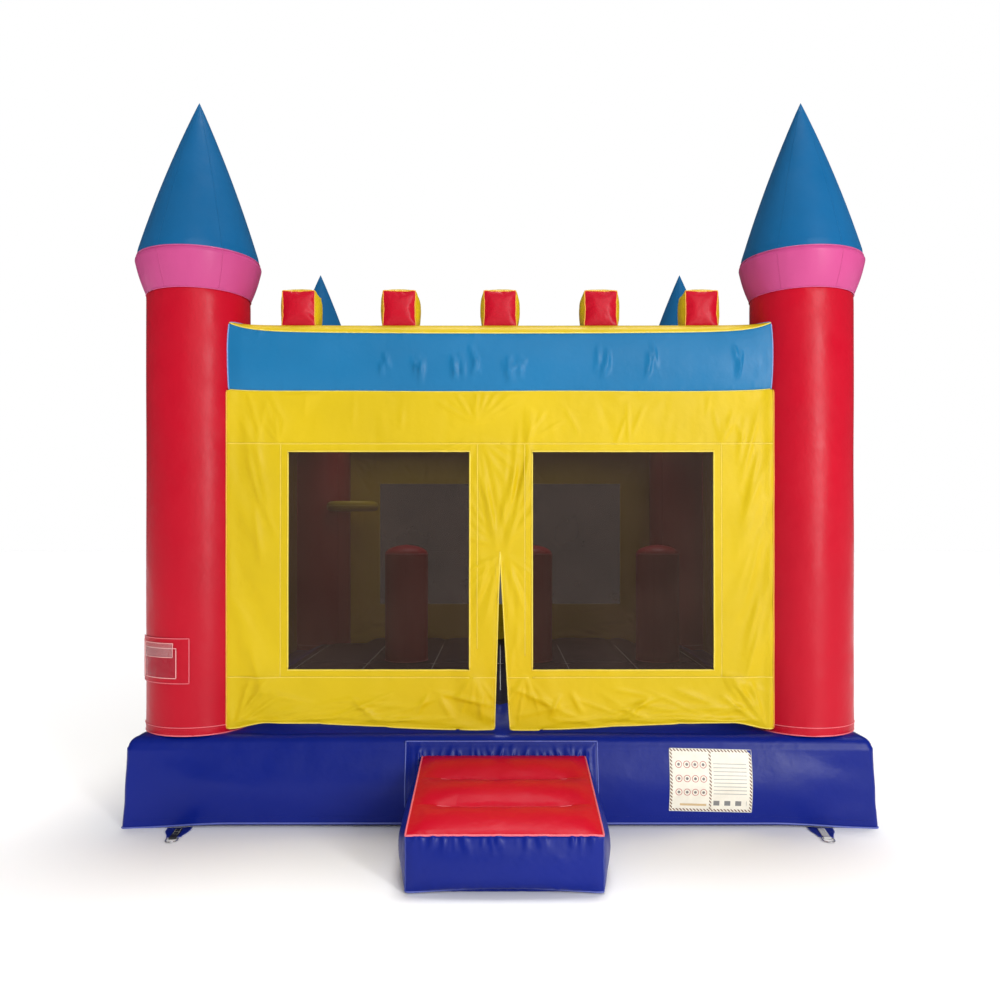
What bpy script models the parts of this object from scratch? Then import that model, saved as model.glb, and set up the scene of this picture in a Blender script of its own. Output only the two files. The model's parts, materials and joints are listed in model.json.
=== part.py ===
"""Inflatable castle bounce house on a 4 m square base, as separate fabric pieces and fittings.

Metres, +Z up. The origin is the centre of the base on the ground, -Y is the entrance side and +X is
the right-hand side seen from the entrance. Thin fabric is modelled as plates and shells; the small
closed chambers (collars, cones, merlons, pillars, step) are solid.
"""

import math

import bmesh
import bpy
from mathutils import Matrix, Vector

# Clearance between pieces that are sewn or welded together, and the fabric thicknesses.
GAP = 0.0005
SKIN = 0.008
COLUMN_SKIN = 0.02
SHEET = 0.004
ROUND_STEPS = 24

# Base: side skirt, ground sheet, crowned bounce floor and its internal baffles.
BASE_HALF = 2.0
BASE_TOP_HALF = 1.965
BASE_HEIGHT = 0.48
BASE_CORNER = 0.05
GROUND_SHEET = 0.006
FLOOR_CROWN = 0.11
CROWN_FLAT = (1.10, 1.39)
CROWN_REACH = (1.50, 1.86)
BAFFLE_PITCH = 0.5
BAFFLE_COUNT = 7
BAFFLE_HALF = 1.93

# Corner towers.
TOWER_AT = 1.70
COLUMN_RADIUS = 0.28
COLUMN_FOOT_RADIUS = 0.284
COLUMN_TOP = 2.886
COLLAR_RADIUS = 0.345
COLLAR_TOP = 3.094
CONE_TIP = 4.0
CONE_BELLY = 0.014

# Wall beams between the towers, and the merlons on the front one.
WALL_PLANE = 1.874
BEAM_BOTTOM = 2.347
BEAM_TOP = 2.733
BEAM_INNER = 1.505
BEAM_BULGE = 0.018
BEAM_END = 1.488
MERLON_COUNT = 5
MERLON_PITCH = 0.561
MERLON_SIZE = (0.19, 0.18, 0.194)
MERLON_FRONT = 1.784

# Wall panels and their net windows.
PANEL_END = 1.476
PANEL_TOP = BEAM_BOTTOM - 0.001
FRONT_PANEL_BOTTOM = 0.504
WALL_PANEL_BOTTOM = BASE_HEIGHT + GAP
NET = 0.002
LEFT_WINDOW = (-1.158, -0.164, 0.823, 2.016)
RIGHT_WINDOW = (0.175, 1.168, 0.823, 2.016)
WALL_WINDOW = (-1.165, 1.165, 0.867, 2.037)

# Entrance slit: each flap folds on a line from the slit's top to its own outer corner.
SLIT_TOP = 1.476
SLIT_HALF_GAP = 0.04
FLAP_CORNER = 0.225
FLAP_TIP_DROP = 0.036
FLAP_EDGE = 0.001
NOTCH_EDGE = 0.0028

# Step in front of the entrance.
STEP_CENTRE = 0.02
STEP_WIDTH = 0.877
STEP_FRONT = 2.869
STEP_FRONT_TOP = 0.256
STEP_BACK_TOP = 0.388
STEP_SKIN = 0.032
APRON_SIZE = (0.97, 0.34)
APRON_BOTTOM = 0.115

# Ground anchors: a fabric tab with a webbing loop that holds a D-ring.
ANCHOR_AT = 1.70
ANCHOR_TURN = math.radians(8)
TAB_LENGTH = 0.165
TAB_ROOT_WIDTH = 0.13
TAB_LOOP_WIDTH = 0.042
STRAP = 0.0025
LOOP_RADIUS = 0.0042
RING_WIRE = 0.0032
RING_HALF_WIDTH = 0.029
RING_DEPTH = 0.062

# Inside: obstacle pillars and the inflated hoop on the back left tower.
PILLAR_RADIUS = 0.165
PILLAR_TOP = 1.47
PILLAR_Y = 0.09
PILLAR_X = (-0.716, 0.234, 1.207)
HOOP_HEIGHT = 1.80
HOOP_RADIUS = 0.19
HOOP_TUBE = 0.045

# Panels on the base and on the front left column.
INFO_PANEL = (0.441, 0.325, 0.0018)
INFO_PANEL_AT = (1.1195, 0.253)
INFO_PANEL_TURN = math.radians(-0.8)
POCKET_ARC = (-8.0, 71.0)
POCKET_HEIGHT = 0.24
POCKET_MIDDLE = 0.884
POCKET_SHEET = 0.003
FLAP_ARC = (9.0, 53.0)
FLAP_DROP = 0.075
PLATE_STEPS = 8

# Air side, on the back of the base: inflation sleeve, its strap, and the deflation zipper.
SLEEVE_AT = (0.75, 0.235)
SLEEVE_RADIUS = 0.14
SLEEVE_LENGTH = 0.30
STRAP_WIDTH = 0.038
STRAP_AT = 0.20
ZIPPER_AT = (-0.85, 0.23)
ZIPPER_SIZE = (0.62, 0.06, 0.003)
SLIDER_START = -0.27
SLIDER_SIZE = (0.026, 0.016, 0.006)
COVER_SIZE = (0.70, 0.13)
COVER_STANDOFF = 0.013

CORNERS = {
    "front_left": (-1, -1),
    "front_right": (1, -1),
    "back_left": (-1, 1),
    "back_right": (1, 1),
}
SIDES = {"front": 0.0, "right": 90.0, "back": 180.0, "left": 270.0}


def clear_scene():
    for obj in list(bpy.data.objects):
        bpy.data.objects.remove(obj, do_unlink=True)


def material(name, colour, roughness, metallic=0.0):
    made = bpy.data.materials.get(name)
    if made:
        return made
    made = bpy.data.materials.new(name)
    made.use_nodes = True
    shader = made.node_tree.nodes["Principled BSDF"]
    shader.inputs["Base Color"].default_value = (*colour, 1.0)
    shader.inputs["Roughness"].default_value = roughness
    shader.inputs["Metallic"].default_value = metallic
    made.diffuse_color = (*colour, 1.0)
    return made


def red_vinyl():
    return material("red_vinyl", (0.57, 0.010, 0.022), 0.45)


def yellow_vinyl():
    return material("yellow_vinyl", (0.72, 0.50, 0.012), 0.5)


def navy_vinyl():
    return material("navy_vinyl", (0.012, 0.020, 0.24), 0.42)


def sky_vinyl():
    return material("sky_vinyl", (0.014, 0.15, 0.40), 0.45)


def pink_vinyl():
    return material("pink_vinyl", (0.62, 0.085, 0.26), 0.45)


def black_net():
    return material("black_net", (0.02, 0.02, 0.02), 0.8)


def hidden_cloth():
    return material("hidden_cloth", (0.45, 0.45, 0.47), 0.8)


def print_vinyl():
    return material("print_vinyl", (0.80, 0.74, 0.62), 0.5)


def clear_vinyl():
    return material("clear_vinyl", (0.70, 0.25, 0.28), 0.2)


def webbing():
    return material("webbing", (0.015, 0.015, 0.018), 0.8)


def steel():
    return material("steel", (0.62, 0.62, 0.64), 0.25, 1.0)


def empty(name, location, rotation=(0.0, 0.0, 0.0), parent=None):
    obj = bpy.data.objects.new(name, None)
    obj.location = location
    obj.rotation_euler = rotation
    obj.parent = parent
    bpy.context.scene.collection.objects.link(obj)
    return obj


def place(name, data, mat, location=(0.0, 0.0, 0.0), rotation=(0.0, 0.0, 0.0), parent=None):
    data.materials.append(mat)
    obj = bpy.data.objects.new(name, data)
    obj.location = location
    obj.rotation_euler = rotation
    obj.parent = parent
    bpy.context.scene.collection.objects.link(obj)
    return obj


def finished_mesh(name, bm, sharp_angle=35.0):
    bmesh.ops.recalc_face_normals(bm, faces=bm.faces)
    mesh = bpy.data.meshes.new(name)
    bm.to_mesh(mesh)
    bm.free()
    mesh.shade_smooth()
    mesh.set_sharp_from_angle(angle=math.radians(sharp_angle))
    return mesh


def skin_loops(bm, loops, ring=False):
    """Join equal loops of points with quads, and close the ends with caps or with each other."""
    made = [[bm.verts.new(point) for point in loop] for loop in loops]
    pairs = list(zip(made, made[1:]))
    if ring:
        pairs.append((made[-1], made[0]))
    for lower, upper in pairs:
        for i in range(len(lower)):
            j = (i + 1) % len(lower)
            bm.faces.new((lower[i], lower[j], upper[j], upper[i]))
    if not ring:
        bm.faces.new(made[0])
        bm.faces.new(made[-1])


def circle_points(radius, height, steps=ROUND_STEPS):
    turn = 2 * math.pi / steps
    return [(radius * math.cos(i * turn), radius * math.sin(i * turn), height) for i in range(steps)]


def turned_mesh(name, profile, ring=False, steps=ROUND_STEPS):
    """Turn (radius, height) points about Z: a ring where the profile closes on itself, else capped."""
    bm = bmesh.new()
    skin_loops(bm, [circle_points(radius, height, steps) for radius, height in profile], ring)
    return finished_mesh(name, bm)


def prism_mesh(name, outline, depth):
    """Extrude a flat outline of (x, y) points from z = 0 to depth."""
    bm = bmesh.new()
    skin_loops(bm, [[(x, y, 0.0) for x, y in outline], [(x, y, depth) for x, y in outline]])
    return finished_mesh(name, bm)


def box_mesh(name, low, high):
    outline = [(low[0], low[1]), (high[0], low[1]), (high[0], high[1]), (low[0], high[1])]
    mesh = prism_mesh(name, outline, high[2] - low[2])
    mesh.transform(Matrix.Translation((0.0, 0.0, low[2])))
    return mesh


def rounded_square(half, corner, height, steps=3):
    points = []
    for quarter in range(4):
        start = quarter * math.pi / 2
        centre = Matrix.Rotation(start, 2) @ Vector((half - corner, half - corner))
        for i in range(steps + 1):
            angle = start + i * math.pi / 2 / steps
            points.append(
                (centre.x + corner * math.cos(angle), centre.y + corner * math.sin(angle), height)
            )
    return points


def cut(obj, cutter):
    cutter.hide_render = True
    cutter.display_type = "WIRE"
    boolean = obj.modifiers.new("cut", "BOOLEAN")
    boolean.operation = "DIFFERENCE"
    boolean.solver = "EXACT"
    boolean.object = cutter


def joined(name, meshes):
    """Unite overlapping closed meshes into one body."""
    first = bpy.data.objects.new(name + "_first", meshes[0])
    bpy.context.scene.collection.objects.link(first)
    others = []
    for mesh in meshes[1:]:
        other = bpy.data.objects.new(name + "_other", mesh)
        bpy.context.scene.collection.objects.link(other)
        union = first.modifiers.new("join", "BOOLEAN")
        union.operation = "UNION"
        union.solver = "EXACT"
        union.object = other
        others.append(other)
    graph = bpy.context.evaluated_depsgraph_get()
    mesh = bpy.data.meshes.new_from_object(first.evaluated_get(graph))
    mesh.materials.clear()
    for obj in [first, *others]:
        bpy.data.objects.remove(obj, do_unlink=True)
    return mesh


def face_frames():
    """Empties on the sloping front and back of the base: X along, Y up the face, Z outwards."""
    lean = math.atan2(BASE_HALF - BASE_TOP_HALF, BASE_HEIGHT)
    frames = {}
    for side in ("front", "back"):
        turn = math.radians(SIDES[side])
        middle = Matrix.Rotation(turn, 3, "Z") @ Vector((0.0, -BASE_HALF, 0.0))
        frames[side] = empty(side + "_face", middle, (math.pi / 2 - lean, 0.0, turn))
    return frames


def base_skirt(frames):
    mesh_loops = [
        rounded_square(BASE_HALF, BASE_CORNER, 0.0),
        rounded_square(BASE_TOP_HALF, BASE_CORNER, BASE_HEIGHT),
        rounded_square(BASE_TOP_HALF - SKIN, BASE_CORNER - SKIN, BASE_HEIGHT),
        rounded_square(BASE_HALF - SKIN, BASE_CORNER - SKIN, 0.0),
    ]
    bm = bmesh.new()
    skin_loops(bm, mesh_loops, ring=True)
    skirt = place("base_skirt", finished_mesh("base_skirt", bm), navy_vinyl())
    tool_radius = SLEEVE_RADIUS - SHEET
    tool = turned_mesh("air_inlet_tool", [(tool_radius, -0.05), (tool_radius, 0.05)])
    location = (SLEEVE_AT[0], SLEEVE_AT[1], 0.0)
    cut(skirt, place("air_inlet_tool", tool, navy_vinyl(), location, parent=frames["back"]))


def ground_sheet():
    half = BASE_HALF - SKIN - 2 * GAP
    corner = BASE_CORNER - SKIN
    bm = bmesh.new()
    skin_loops(bm, [rounded_square(half, corner, 0.0), rounded_square(half, corner, GROUND_SHEET)])
    place("ground_sheet", finished_mesh("ground_sheet", bm), navy_vinyl())


def fade(distance, reach):
    """1 inside reach[0], 0 outside reach[1], and a straight slope between them."""
    return min(1.0, max(0.0, (reach[1] - distance) / (reach[1] - reach[0])))


def floor_height(x, y):
    along_x = fade(abs(x), CROWN_REACH) * fade(abs(y), CROWN_FLAT)
    along_y = fade(abs(y), CROWN_REACH) * fade(abs(x), CROWN_FLAT)
    return BASE_HEIGHT + FLOOR_CROWN * max(along_x, along_y)


def bounce_floor():
    half = BASE_TOP_HALF - SKIN - 2 * GAP
    outer = [0.0, CROWN_FLAT[0] / 2, CROWN_FLAT[0], CROWN_FLAT[1], *CROWN_REACH, half]
    lines = [-value for value in reversed(outer[1:])] + outer
    bm = bmesh.new()
    layers = []
    for drop in (0.0, SKIN):
        layers.append([[bm.verts.new((x, y, floor_height(x, y) - drop)) for x in lines] for y in lines])
    last = len(lines) - 1
    corner_cut = 1.0 - 0.35 * BASE_CORNER / half
    for grid in layers:
        for row, col in ((0, 0), (0, last), (last, 0), (last, last)):
            grid[row][col].co.x *= corner_cut
            grid[row][col].co.y *= corner_cut
    for grid in layers:
        for row in range(last):
            for col in range(last):
                corners = (grid[row][col], grid[row][col + 1], grid[row + 1][col + 1], grid[row + 1][col])
                bm.faces.new(corners)
    top, under = layers
    for i in range(last):
        bm.faces.new((top[0][i], top[0][i + 1], under[0][i + 1], under[0][i]))
        bm.faces.new((top[last][i], top[last][i + 1], under[last][i + 1], under[last][i]))
        bm.faces.new((top[i][0], top[i + 1][0], under[i + 1][0], under[i][0]))
        bm.faces.new((top[i][last], top[i + 1][last], under[i + 1][last], under[i][last]))
    place("bounce_floor", finished_mesh("bounce_floor", bm), navy_vinyl())


def baffle_outline():
    low = GROUND_SHEET + GAP
    ledge = BASE_HEIGHT - SKIN - 2 * GAP
    crown = ledge + FLOOR_CROWN - SHEET
    crown_half = CROWN_FLAT[0] - 0.02
    slope_foot = CROWN_FLAT[1] - 0.02
    return [
        (-BAFFLE_HALF, low),
        (BAFFLE_HALF, low),
        (BAFFLE_HALF, ledge),
        (slope_foot, ledge),
        (crown_half, crown),
        (-crown_half, crown),
        (-slope_foot, ledge),
        (-BAFFLE_HALF, ledge),
    ]


def floor_baffles():
    """Upright webs that hold the floor flat: seven run front to back and one ties them across."""
    webs = []
    middle = (BAFFLE_COUNT - 1) / 2
    upright = Matrix.Rotation(math.pi / 2, 4, "X")
    for i in range(BAFFLE_COUNT):
        web = prism_mesh("web", baffle_outline(), SHEET)
        across = Matrix.Translation(((i - middle) * BAFFLE_PITCH, 0.0, 0.0))
        web.transform(across @ Matrix.Rotation(math.pi / 2, 4, "Z") @ upright)
        webs.append(web)
    tie = prism_mesh("tie", baffle_outline(), SHEET)
    tie.transform(upright)
    place("floor_baffles", joined("floor_baffles", [tie, *webs]), hidden_cloth())


def towers():
    foot = BASE_HEIGHT + GAP
    inner = COLUMN_RADIUS - COLUMN_SKIN
    column = [
        (COLUMN_FOOT_RADIUS, foot),
        (COLUMN_RADIUS, foot + 0.06),
        (COLUMN_RADIUS, COLUMN_TOP),
        (inner, COLUMN_TOP),
        (inner, foot),
    ]
    collar = [
        (COLUMN_RADIUS, COLUMN_TOP + GAP),
        (COLLAR_RADIUS - 0.02, COLLAR_TOP - 0.075),
        (COLLAR_RADIUS, COLLAR_TOP - 0.02),
        (COLLAR_RADIUS - 0.002, COLLAR_TOP),
    ]
    cone = []
    for fraction in (0.0, 0.06, 0.25, 0.6, 0.985):
        belly = CONE_BELLY * math.sin(math.pi * fraction)
        radius = (COLLAR_RADIUS - 0.003) * (1.0 - fraction) + belly
        cone.append((radius, COLLAR_TOP + GAP + (CONE_TIP - COLLAR_TOP - GAP) * fraction))
    cone[-1] = (cone[-1][0], CONE_TIP)
    shapes = {
        "column": (turned_mesh("column", column, ring=True), red_vinyl()),
        "collar": (turned_mesh("collar", collar), pink_vinyl()),
        "cone": (turned_mesh("cone", cone), sky_vinyl()),
    }
    for corner, (x, y) in CORNERS.items():
        for part, (mesh, mat) in shapes.items():
            own_mesh = mesh.copy()
            place(f"{part}_{corner}", own_mesh, mat, (x * TOWER_AT, y * TOWER_AT, 0.0))


def beam_section(inset):
    """Outline across a beam as (distance out from the middle, height), moved in by inset."""
    front = WALL_PLANE
    top = BEAM_TOP - GAP
    third = (BEAM_TOP - BEAM_BOTTOM) / 3
    outline = [
        (BEAM_INNER, BEAM_BOTTOM + 0.02),
        (BEAM_INNER + 0.03, BEAM_BOTTOM),
        (front, BEAM_BOTTOM),
        (front + BEAM_BULGE, BEAM_BOTTOM + third),
        (front + BEAM_BULGE, BEAM_BOTTOM + 2 * third),
        (front, BEAM_TOP - 0.04),
        (MERLON_FRONT + 0.01, top),
        (MERLON_FRONT - MERLON_SIZE[1] - 0.01, top),
        (BEAM_INNER, BEAM_TOP - 0.05),
    ]
    middle = ((BEAM_INNER + front) / 2, (BEAM_BOTTOM + BEAM_TOP) / 2)
    scaled = []
    for out, height in outline:
        reach = math.hypot(out - middle[0], height - middle[1])
        keep = (reach - inset) / reach
        scaled.append((middle[0] + (out - middle[0]) * keep, middle[1] + (height - middle[1]) * keep))
    return scaled


def beams():
    """Open-ended fabric tubes; each end is hollowed to fit round its tower."""
    cutters = []
    for corner, (x, y) in CORNERS.items():
        radius = COLUMN_FOOT_RADIUS - 0.0025
        tool = turned_mesh("tower_tool", [(radius, BEAM_BOTTOM - 0.1), (radius, BEAM_TOP + 0.1)])
        cutters.append(
            place(f"tower_tool_{corner}", tool, red_vinyl(), (x * TOWER_AT, y * TOWER_AT, 0.0))
        )
    for side, degrees in SIDES.items():
        rings = []
        for inset, end in ((0.0, -1), (0.0, 1), (0.014, 1), (0.014, -1)):
            rings.append([(end * BEAM_END, -out, height) for out, height in beam_section(inset)])
        bm = bmesh.new()
        skin_loops(bm, rings, ring=True)
        mesh = finished_mesh("beam", bm)
        beam = place(f"beam_{side}", mesh, sky_vinyl(), rotation=(0.0, 0.0, math.radians(degrees)))
        for cutter in cutters:
            cut(beam, cutter)


def merlons():
    width, depth, height = MERLON_SIZE
    for i in range(MERLON_COUNT):
        x = (i - (MERLON_COUNT - 1) / 2) * MERLON_PITCH
        mesh = box_mesh("merlon", (-width / 2, 0.0, 0.0), (width / 2, depth, height))
        merlon = place(f"merlon_{i + 1}", mesh, red_vinyl(), (x, -MERLON_FRONT, BEAM_TOP))
        bevel = merlon.modifiers.new("soft_edges", "BEVEL")
        bevel.width = 0.012
        bevel.segments = 1


def window_cutter(name, window, parent):
    low = (window[0], -0.05, window[2])
    high = (window[1], 0.05, window[3])
    return place(name, box_mesh(name, low, high), black_net(), parent=parent)


def net(name, window, parent):
    low = (window[0] + GAP, -NET / 2, window[2] + GAP)
    high = (window[1] - GAP, NET / 2, window[3] - GAP)
    place(name, box_mesh(name, low, high), black_net(), parent=parent)


def wall_frame(side):
    turn = math.radians(SIDES[side])
    middle = Matrix.Rotation(turn, 3, "Z") @ Vector((0.0, -WALL_PLANE, 0.0))
    return empty(side + "_wall", middle, (0.0, 0.0, turn))


def panel(name, bottom, parent):
    low = (-PANEL_END, -SHEET / 2, bottom)
    high = (PANEL_END, SHEET / 2, PANEL_TOP)
    return place(name, box_mesh(name, low, high), yellow_vinyl(), parent=parent)


def side_walls():
    for side in ("left", "right", "back"):
        frame = wall_frame(side)
        wall = panel(f"wall_panel_{side}", WALL_PANEL_BOTTOM, frame)
        cut(wall, window_cutter(f"window_tool_{side}", WALL_WINDOW, frame))
        net(f"wall_net_{side}", WALL_WINDOW, frame)


def fold_line(offset, height):
    """Distance from the middle of the fold line at a height, moved outwards by offset."""
    run = FLAP_CORNER / (SLIT_TOP - FRONT_PANEL_BOTTOM)
    return (SLIT_TOP - height) * run + offset * math.hypot(1.0, run)


def upright_prism(name, outline, depth):
    """Extrude an (x, z) outline through the wall plane, centred on it."""
    mesh = prism_mesh(name, outline, depth)
    mesh.transform(Matrix.Translation((0.0, depth / 2, 0.0)) @ Matrix.Rotation(math.pi / 2, 4, "X"))
    return mesh


def front_wall():
    frame = wall_frame("front")
    wall = panel("front_panel", FRONT_PANEL_BOTTOM, frame)
    for name, window in (("left", LEFT_WINDOW), ("right", RIGHT_WINDOW)):
        cut(wall, window_cutter(f"front_window_tool_{name}", window, frame))
        net(f"window_net_{name}", window, frame)
    below = FRONT_PANEL_BOTTOM - 0.05
    tip = SLIT_TOP + NOTCH_EDGE / (FLAP_CORNER / (SLIT_TOP - FRONT_PANEL_BOTTOM))
    reach = fold_line(NOTCH_EDGE, below)
    notch = upright_prism("slit_tool", [(-reach, below), (reach, below), (0.0, tip)], 0.1)
    cut(wall, place("slit_tool", notch, yellow_vinyl(), parent=frame))
    entrance_flaps(frame)


def entrance_flaps(frame):
    """Two tapering flaps; each object's origin is where its fold line meets the slit's top."""
    tip = SLIT_TOP - FLAP_TIP_DROP
    slope = SLIT_HALF_GAP / (SLIT_TOP - FRONT_PANEL_BOTTOM)
    outline = [
        (slope * FLAP_TIP_DROP, tip),
        (SLIT_HALF_GAP, FRONT_PANEL_BOTTOM),
        (fold_line(-FLAP_EDGE, FRONT_PANEL_BOTTOM), FRONT_PANEL_BOTTOM),
        (fold_line(-FLAP_EDGE, tip), tip),
    ]
    for name, side in (("left", -1), ("right", 1)):
        local = [(side * x, z - SLIT_TOP) for x, z in outline]
        flap = upright_prism("entrance_flap", local, SHEET)
        place(f"entrance_flap_{name}", flap, yellow_vinyl(), (0.0, 0.0, SLIT_TOP), parent=frame)


def step(frames):
    lean = (BASE_HALF - BASE_TOP_HALF) / BASE_HEIGHT
    behind = SHEET + 3 * GAP

    def back(height):
        return -(BASE_HALF - lean * height) - behind

    under_front = STEP_FRONT_TOP - STEP_SKIN
    under_back = STEP_BACK_TOP - STEP_SKIN
    body = [
        (-STEP_FRONT, 0.0),
        (back(0.0), 0.0),
        (back(under_back), under_back),
        (-STEP_FRONT, under_front),
    ]
    rise = (under_back - under_front) / (STEP_FRONT + back(under_back))
    lip = 0.004
    tread = [
        (-STEP_FRONT + lip, under_front + rise * lip + 2 * GAP),
        (back(under_back), under_back + 2 * GAP),
        (back(STEP_BACK_TOP), STEP_BACK_TOP - 0.008),
        (back(STEP_BACK_TOP) - 0.03, STEP_BACK_TOP),
        (-STEP_FRONT + 0.03, STEP_FRONT_TOP + rise * lip),
        (-STEP_FRONT + lip, STEP_FRONT_TOP - 0.01),
    ]
    on_side = Matrix.Rotation(math.pi / 2, 4, "Z") @ Matrix.Rotation(math.pi / 2, 4, "X")
    for name, outline, mat in (("step_body", body, navy_vinyl()), ("step_tread", tread, red_vinyl())):
        mesh = prism_mesh(name, outline, STEP_WIDTH)
        mesh.transform(Matrix.Translation((-STEP_WIDTH / 2, 0.0, 0.0)) @ on_side)
        place(name, mesh, mat, (STEP_CENTRE, 0.0, 0.0))
    width, height = APRON_SIZE
    apron = box_mesh("step_apron", (-width / 2, 0.0, GAP), (width / 2, height, GAP + SHEET))
    location = (STEP_CENTRE, APRON_BOTTOM, 0.0)
    place("step_apron", apron, navy_vinyl(), location, parent=frames["front"])


def tab_outline():
    """Side view of the strap as (outwards, up): flat on the ground, then round the ring's bar."""
    outer = LOOP_RADIUS + STRAP
    reach = TAB_LENGTH
    outline = [(0.0, 0.0), (reach, 0.0)]
    turns = 8
    for i in range(1, turns + 1):
        angle = -math.pi / 2 + i * math.pi / turns
        outline.append((reach + outer * math.cos(angle), outer + outer * math.sin(angle)))
    outline.append((reach - 0.012, 2 * outer))
    outline.append((reach - 0.030, 2 * STRAP + 2 * GAP))
    outline.append((reach - 0.055, 2 * STRAP + 2 * GAP))
    outline.append((reach - 0.055, STRAP + GAP))
    outline.append((reach - 0.026, STRAP + GAP))
    outline.append((reach - 0.009, 2 * outer - STRAP))
    for i in range(turns + 1):
        angle = math.pi / 2 - i * math.pi / turns
        outline.append((reach + LOOP_RADIUS * math.cos(angle), outer + LOOP_RADIUS * math.sin(angle)))
    outline.append((0.0, STRAP))
    return outline


def tab_mesh():
    mesh = prism_mesh("anchor_tab", tab_outline(), 1.0)
    on_side = Matrix.Rotation(math.pi / 2, 4, "Z") @ Matrix.Rotation(math.pi / 2, 4, "X")
    mesh.transform(Matrix.Translation((-0.5, 0.0, 0.0)) @ on_side)
    narrow_from = TAB_LENGTH - 0.06
    for vertex in mesh.vertices:
        part = min(1.0, vertex.co.y / narrow_from)
        vertex.co.x *= TAB_ROOT_WIDTH + (TAB_LOOP_WIDTH - TAB_ROOT_WIDTH) * part
    return mesh


def ring_curve():
    """A D of round wire with its bar on the local X axis, lying flat and pointing along +Y."""
    points = [(-RING_HALF_WIDTH + 0.004, 0.0), (RING_HALF_WIDTH - 0.004, 0.0)]
    shoulder = 0.012
    steps = 10
    for i in range(steps + 1):
        angle = i * math.pi / steps
        bow = RING_DEPTH - shoulder
        points.append((RING_HALF_WIDTH * math.cos(angle), shoulder + bow * math.sin(angle)))
    curve = bpy.data.curves.new("anchor_ring", "CURVE")
    curve.dimensions = "3D"
    curve.bevel_depth = RING_WIRE
    curve.bevel_resolution = 2
    spline = curve.splines.new("POLY")
    spline.points.add(len(points) - 1)
    for point, (x, y) in zip(spline.points, points):
        point.co = (x, y, 0.0, 1.0)
    spline.use_cyclic_u = True
    return curve


def anchors():
    axis_height = LOOP_RADIUS + STRAP
    for corner, (x, y) in CORNERS.items():
        turn = x * ANCHOR_TURN if y > 0 else math.pi - x * ANCHOR_TURN
        root = BASE_HALF + 0.011
        frame = empty(f"anchor_{corner}", (x * ANCHOR_AT, y * root, 0.0), (0.0, 0.0, turn))
        place(f"anchor_tab_{corner}", tab_mesh(), navy_vinyl(), parent=frame)
        location = (0.0, TAB_LENGTH, axis_height)
        place(f"anchor_ring_{corner}", ring_curve(), steel(), location, parent=frame)


def pillars():
    foot = BASE_HEIGHT + FLOOR_CROWN + GAP
    profile = [
        (PILLAR_RADIUS, foot),
        (PILLAR_RADIUS, PILLAR_TOP - 0.06),
        (PILLAR_RADIUS - 0.03, PILLAR_TOP - 0.015),
        (PILLAR_RADIUS - 0.08, PILLAR_TOP),
    ]
    for name, x in zip(("left", "middle", "right"), PILLAR_X):
        place(f"pillar_{name}", turned_mesh("pillar", profile, steps=20), red_vinyl(), (x, PILLAR_Y, 0.0))


def hoop():
    """Inflated ring that touches the inward side of the back left tower."""
    reach = COLUMN_RADIUS + HOOP_RADIUS + HOOP_TUBE + 0.002
    shift = TOWER_AT - reach / math.sqrt(2.0)
    steps = 8
    profile = []
    for i in range(steps):
        angle = i * 2 * math.pi / steps
        profile.append((HOOP_RADIUS + HOOP_TUBE * math.cos(angle), HOOP_TUBE * math.sin(angle)))
    mesh = turned_mesh("hoop_ring", profile, ring=True, steps=20)
    place("hoop_ring", mesh, yellow_vinyl(), (-shift, shift, HOOP_HEIGHT))


def info_panel(frames):
    width, height, thick = INFO_PANEL
    mesh = box_mesh("info_panel", (-width / 2, -height / 2, GAP), (width / 2, height / 2, GAP + thick))
    location = (*INFO_PANEL_AT, 0.0)
    rotation = (0.0, 0.0, INFO_PANEL_TURN)
    place("info_panel", mesh, print_vinyl(), location, rotation, frames["front"])


def plate_radius(arc, clear_of):
    """Corner radius at which the flat facets of a bent plate still stand clear of a cylinder."""
    return clear_of / math.cos(math.radians((arc[1] - arc[0]) / PLATE_STEPS / 2))


def curved_plate(name, arc, inner, thick, low, high):
    """A plate bent round a column's axis; its arc is in degrees from -Y towards -X."""
    loops = []
    for i in range(PLATE_STEPS + 1):
        angle = math.radians(-90.0 - arc[0] - i * (arc[1] - arc[0]) / PLATE_STEPS)
        along = Vector((math.cos(angle), math.sin(angle)))
        near = along * inner
        far = along * (inner + thick)
        loops.append([(near.x, near.y, low), (far.x, far.y, low), (far.x, far.y, high), (near.x, near.y, high)])
    bm = bmesh.new()
    skin_loops(bm, loops)
    return finished_mesh(name, bm)


def document_pocket():
    """Pocket on the front left column and its cover flap, whose origin is on its fold line."""
    column = (-TOWER_AT, -TOWER_AT, POCKET_MIDDLE)
    inner = plate_radius(POCKET_ARC, COLUMN_RADIUS + GAP)
    half = POCKET_HEIGHT / 2
    plate = curved_plate("document_pocket", POCKET_ARC, inner, POCKET_SHEET, -half, half)
    place("document_pocket", plate, red_vinyl(), column)
    middle = math.radians(-90.0 - sum(FLAP_ARC) / 2)
    reach = plate_radius(FLAP_ARC, inner + POCKET_SHEET + 2 * GAP)
    hinge = Vector((reach * math.cos(middle), reach * math.sin(middle), half - 0.025))
    flap = curved_plate("pocket_flap", FLAP_ARC, reach, 0.002, hinge.z - FLAP_DROP, hinge.z - 0.001)
    flap.transform(Matrix.Translation(-hinge))
    place("pocket_flap", flap, clear_vinyl(), Vector(column) + hinge)


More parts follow.
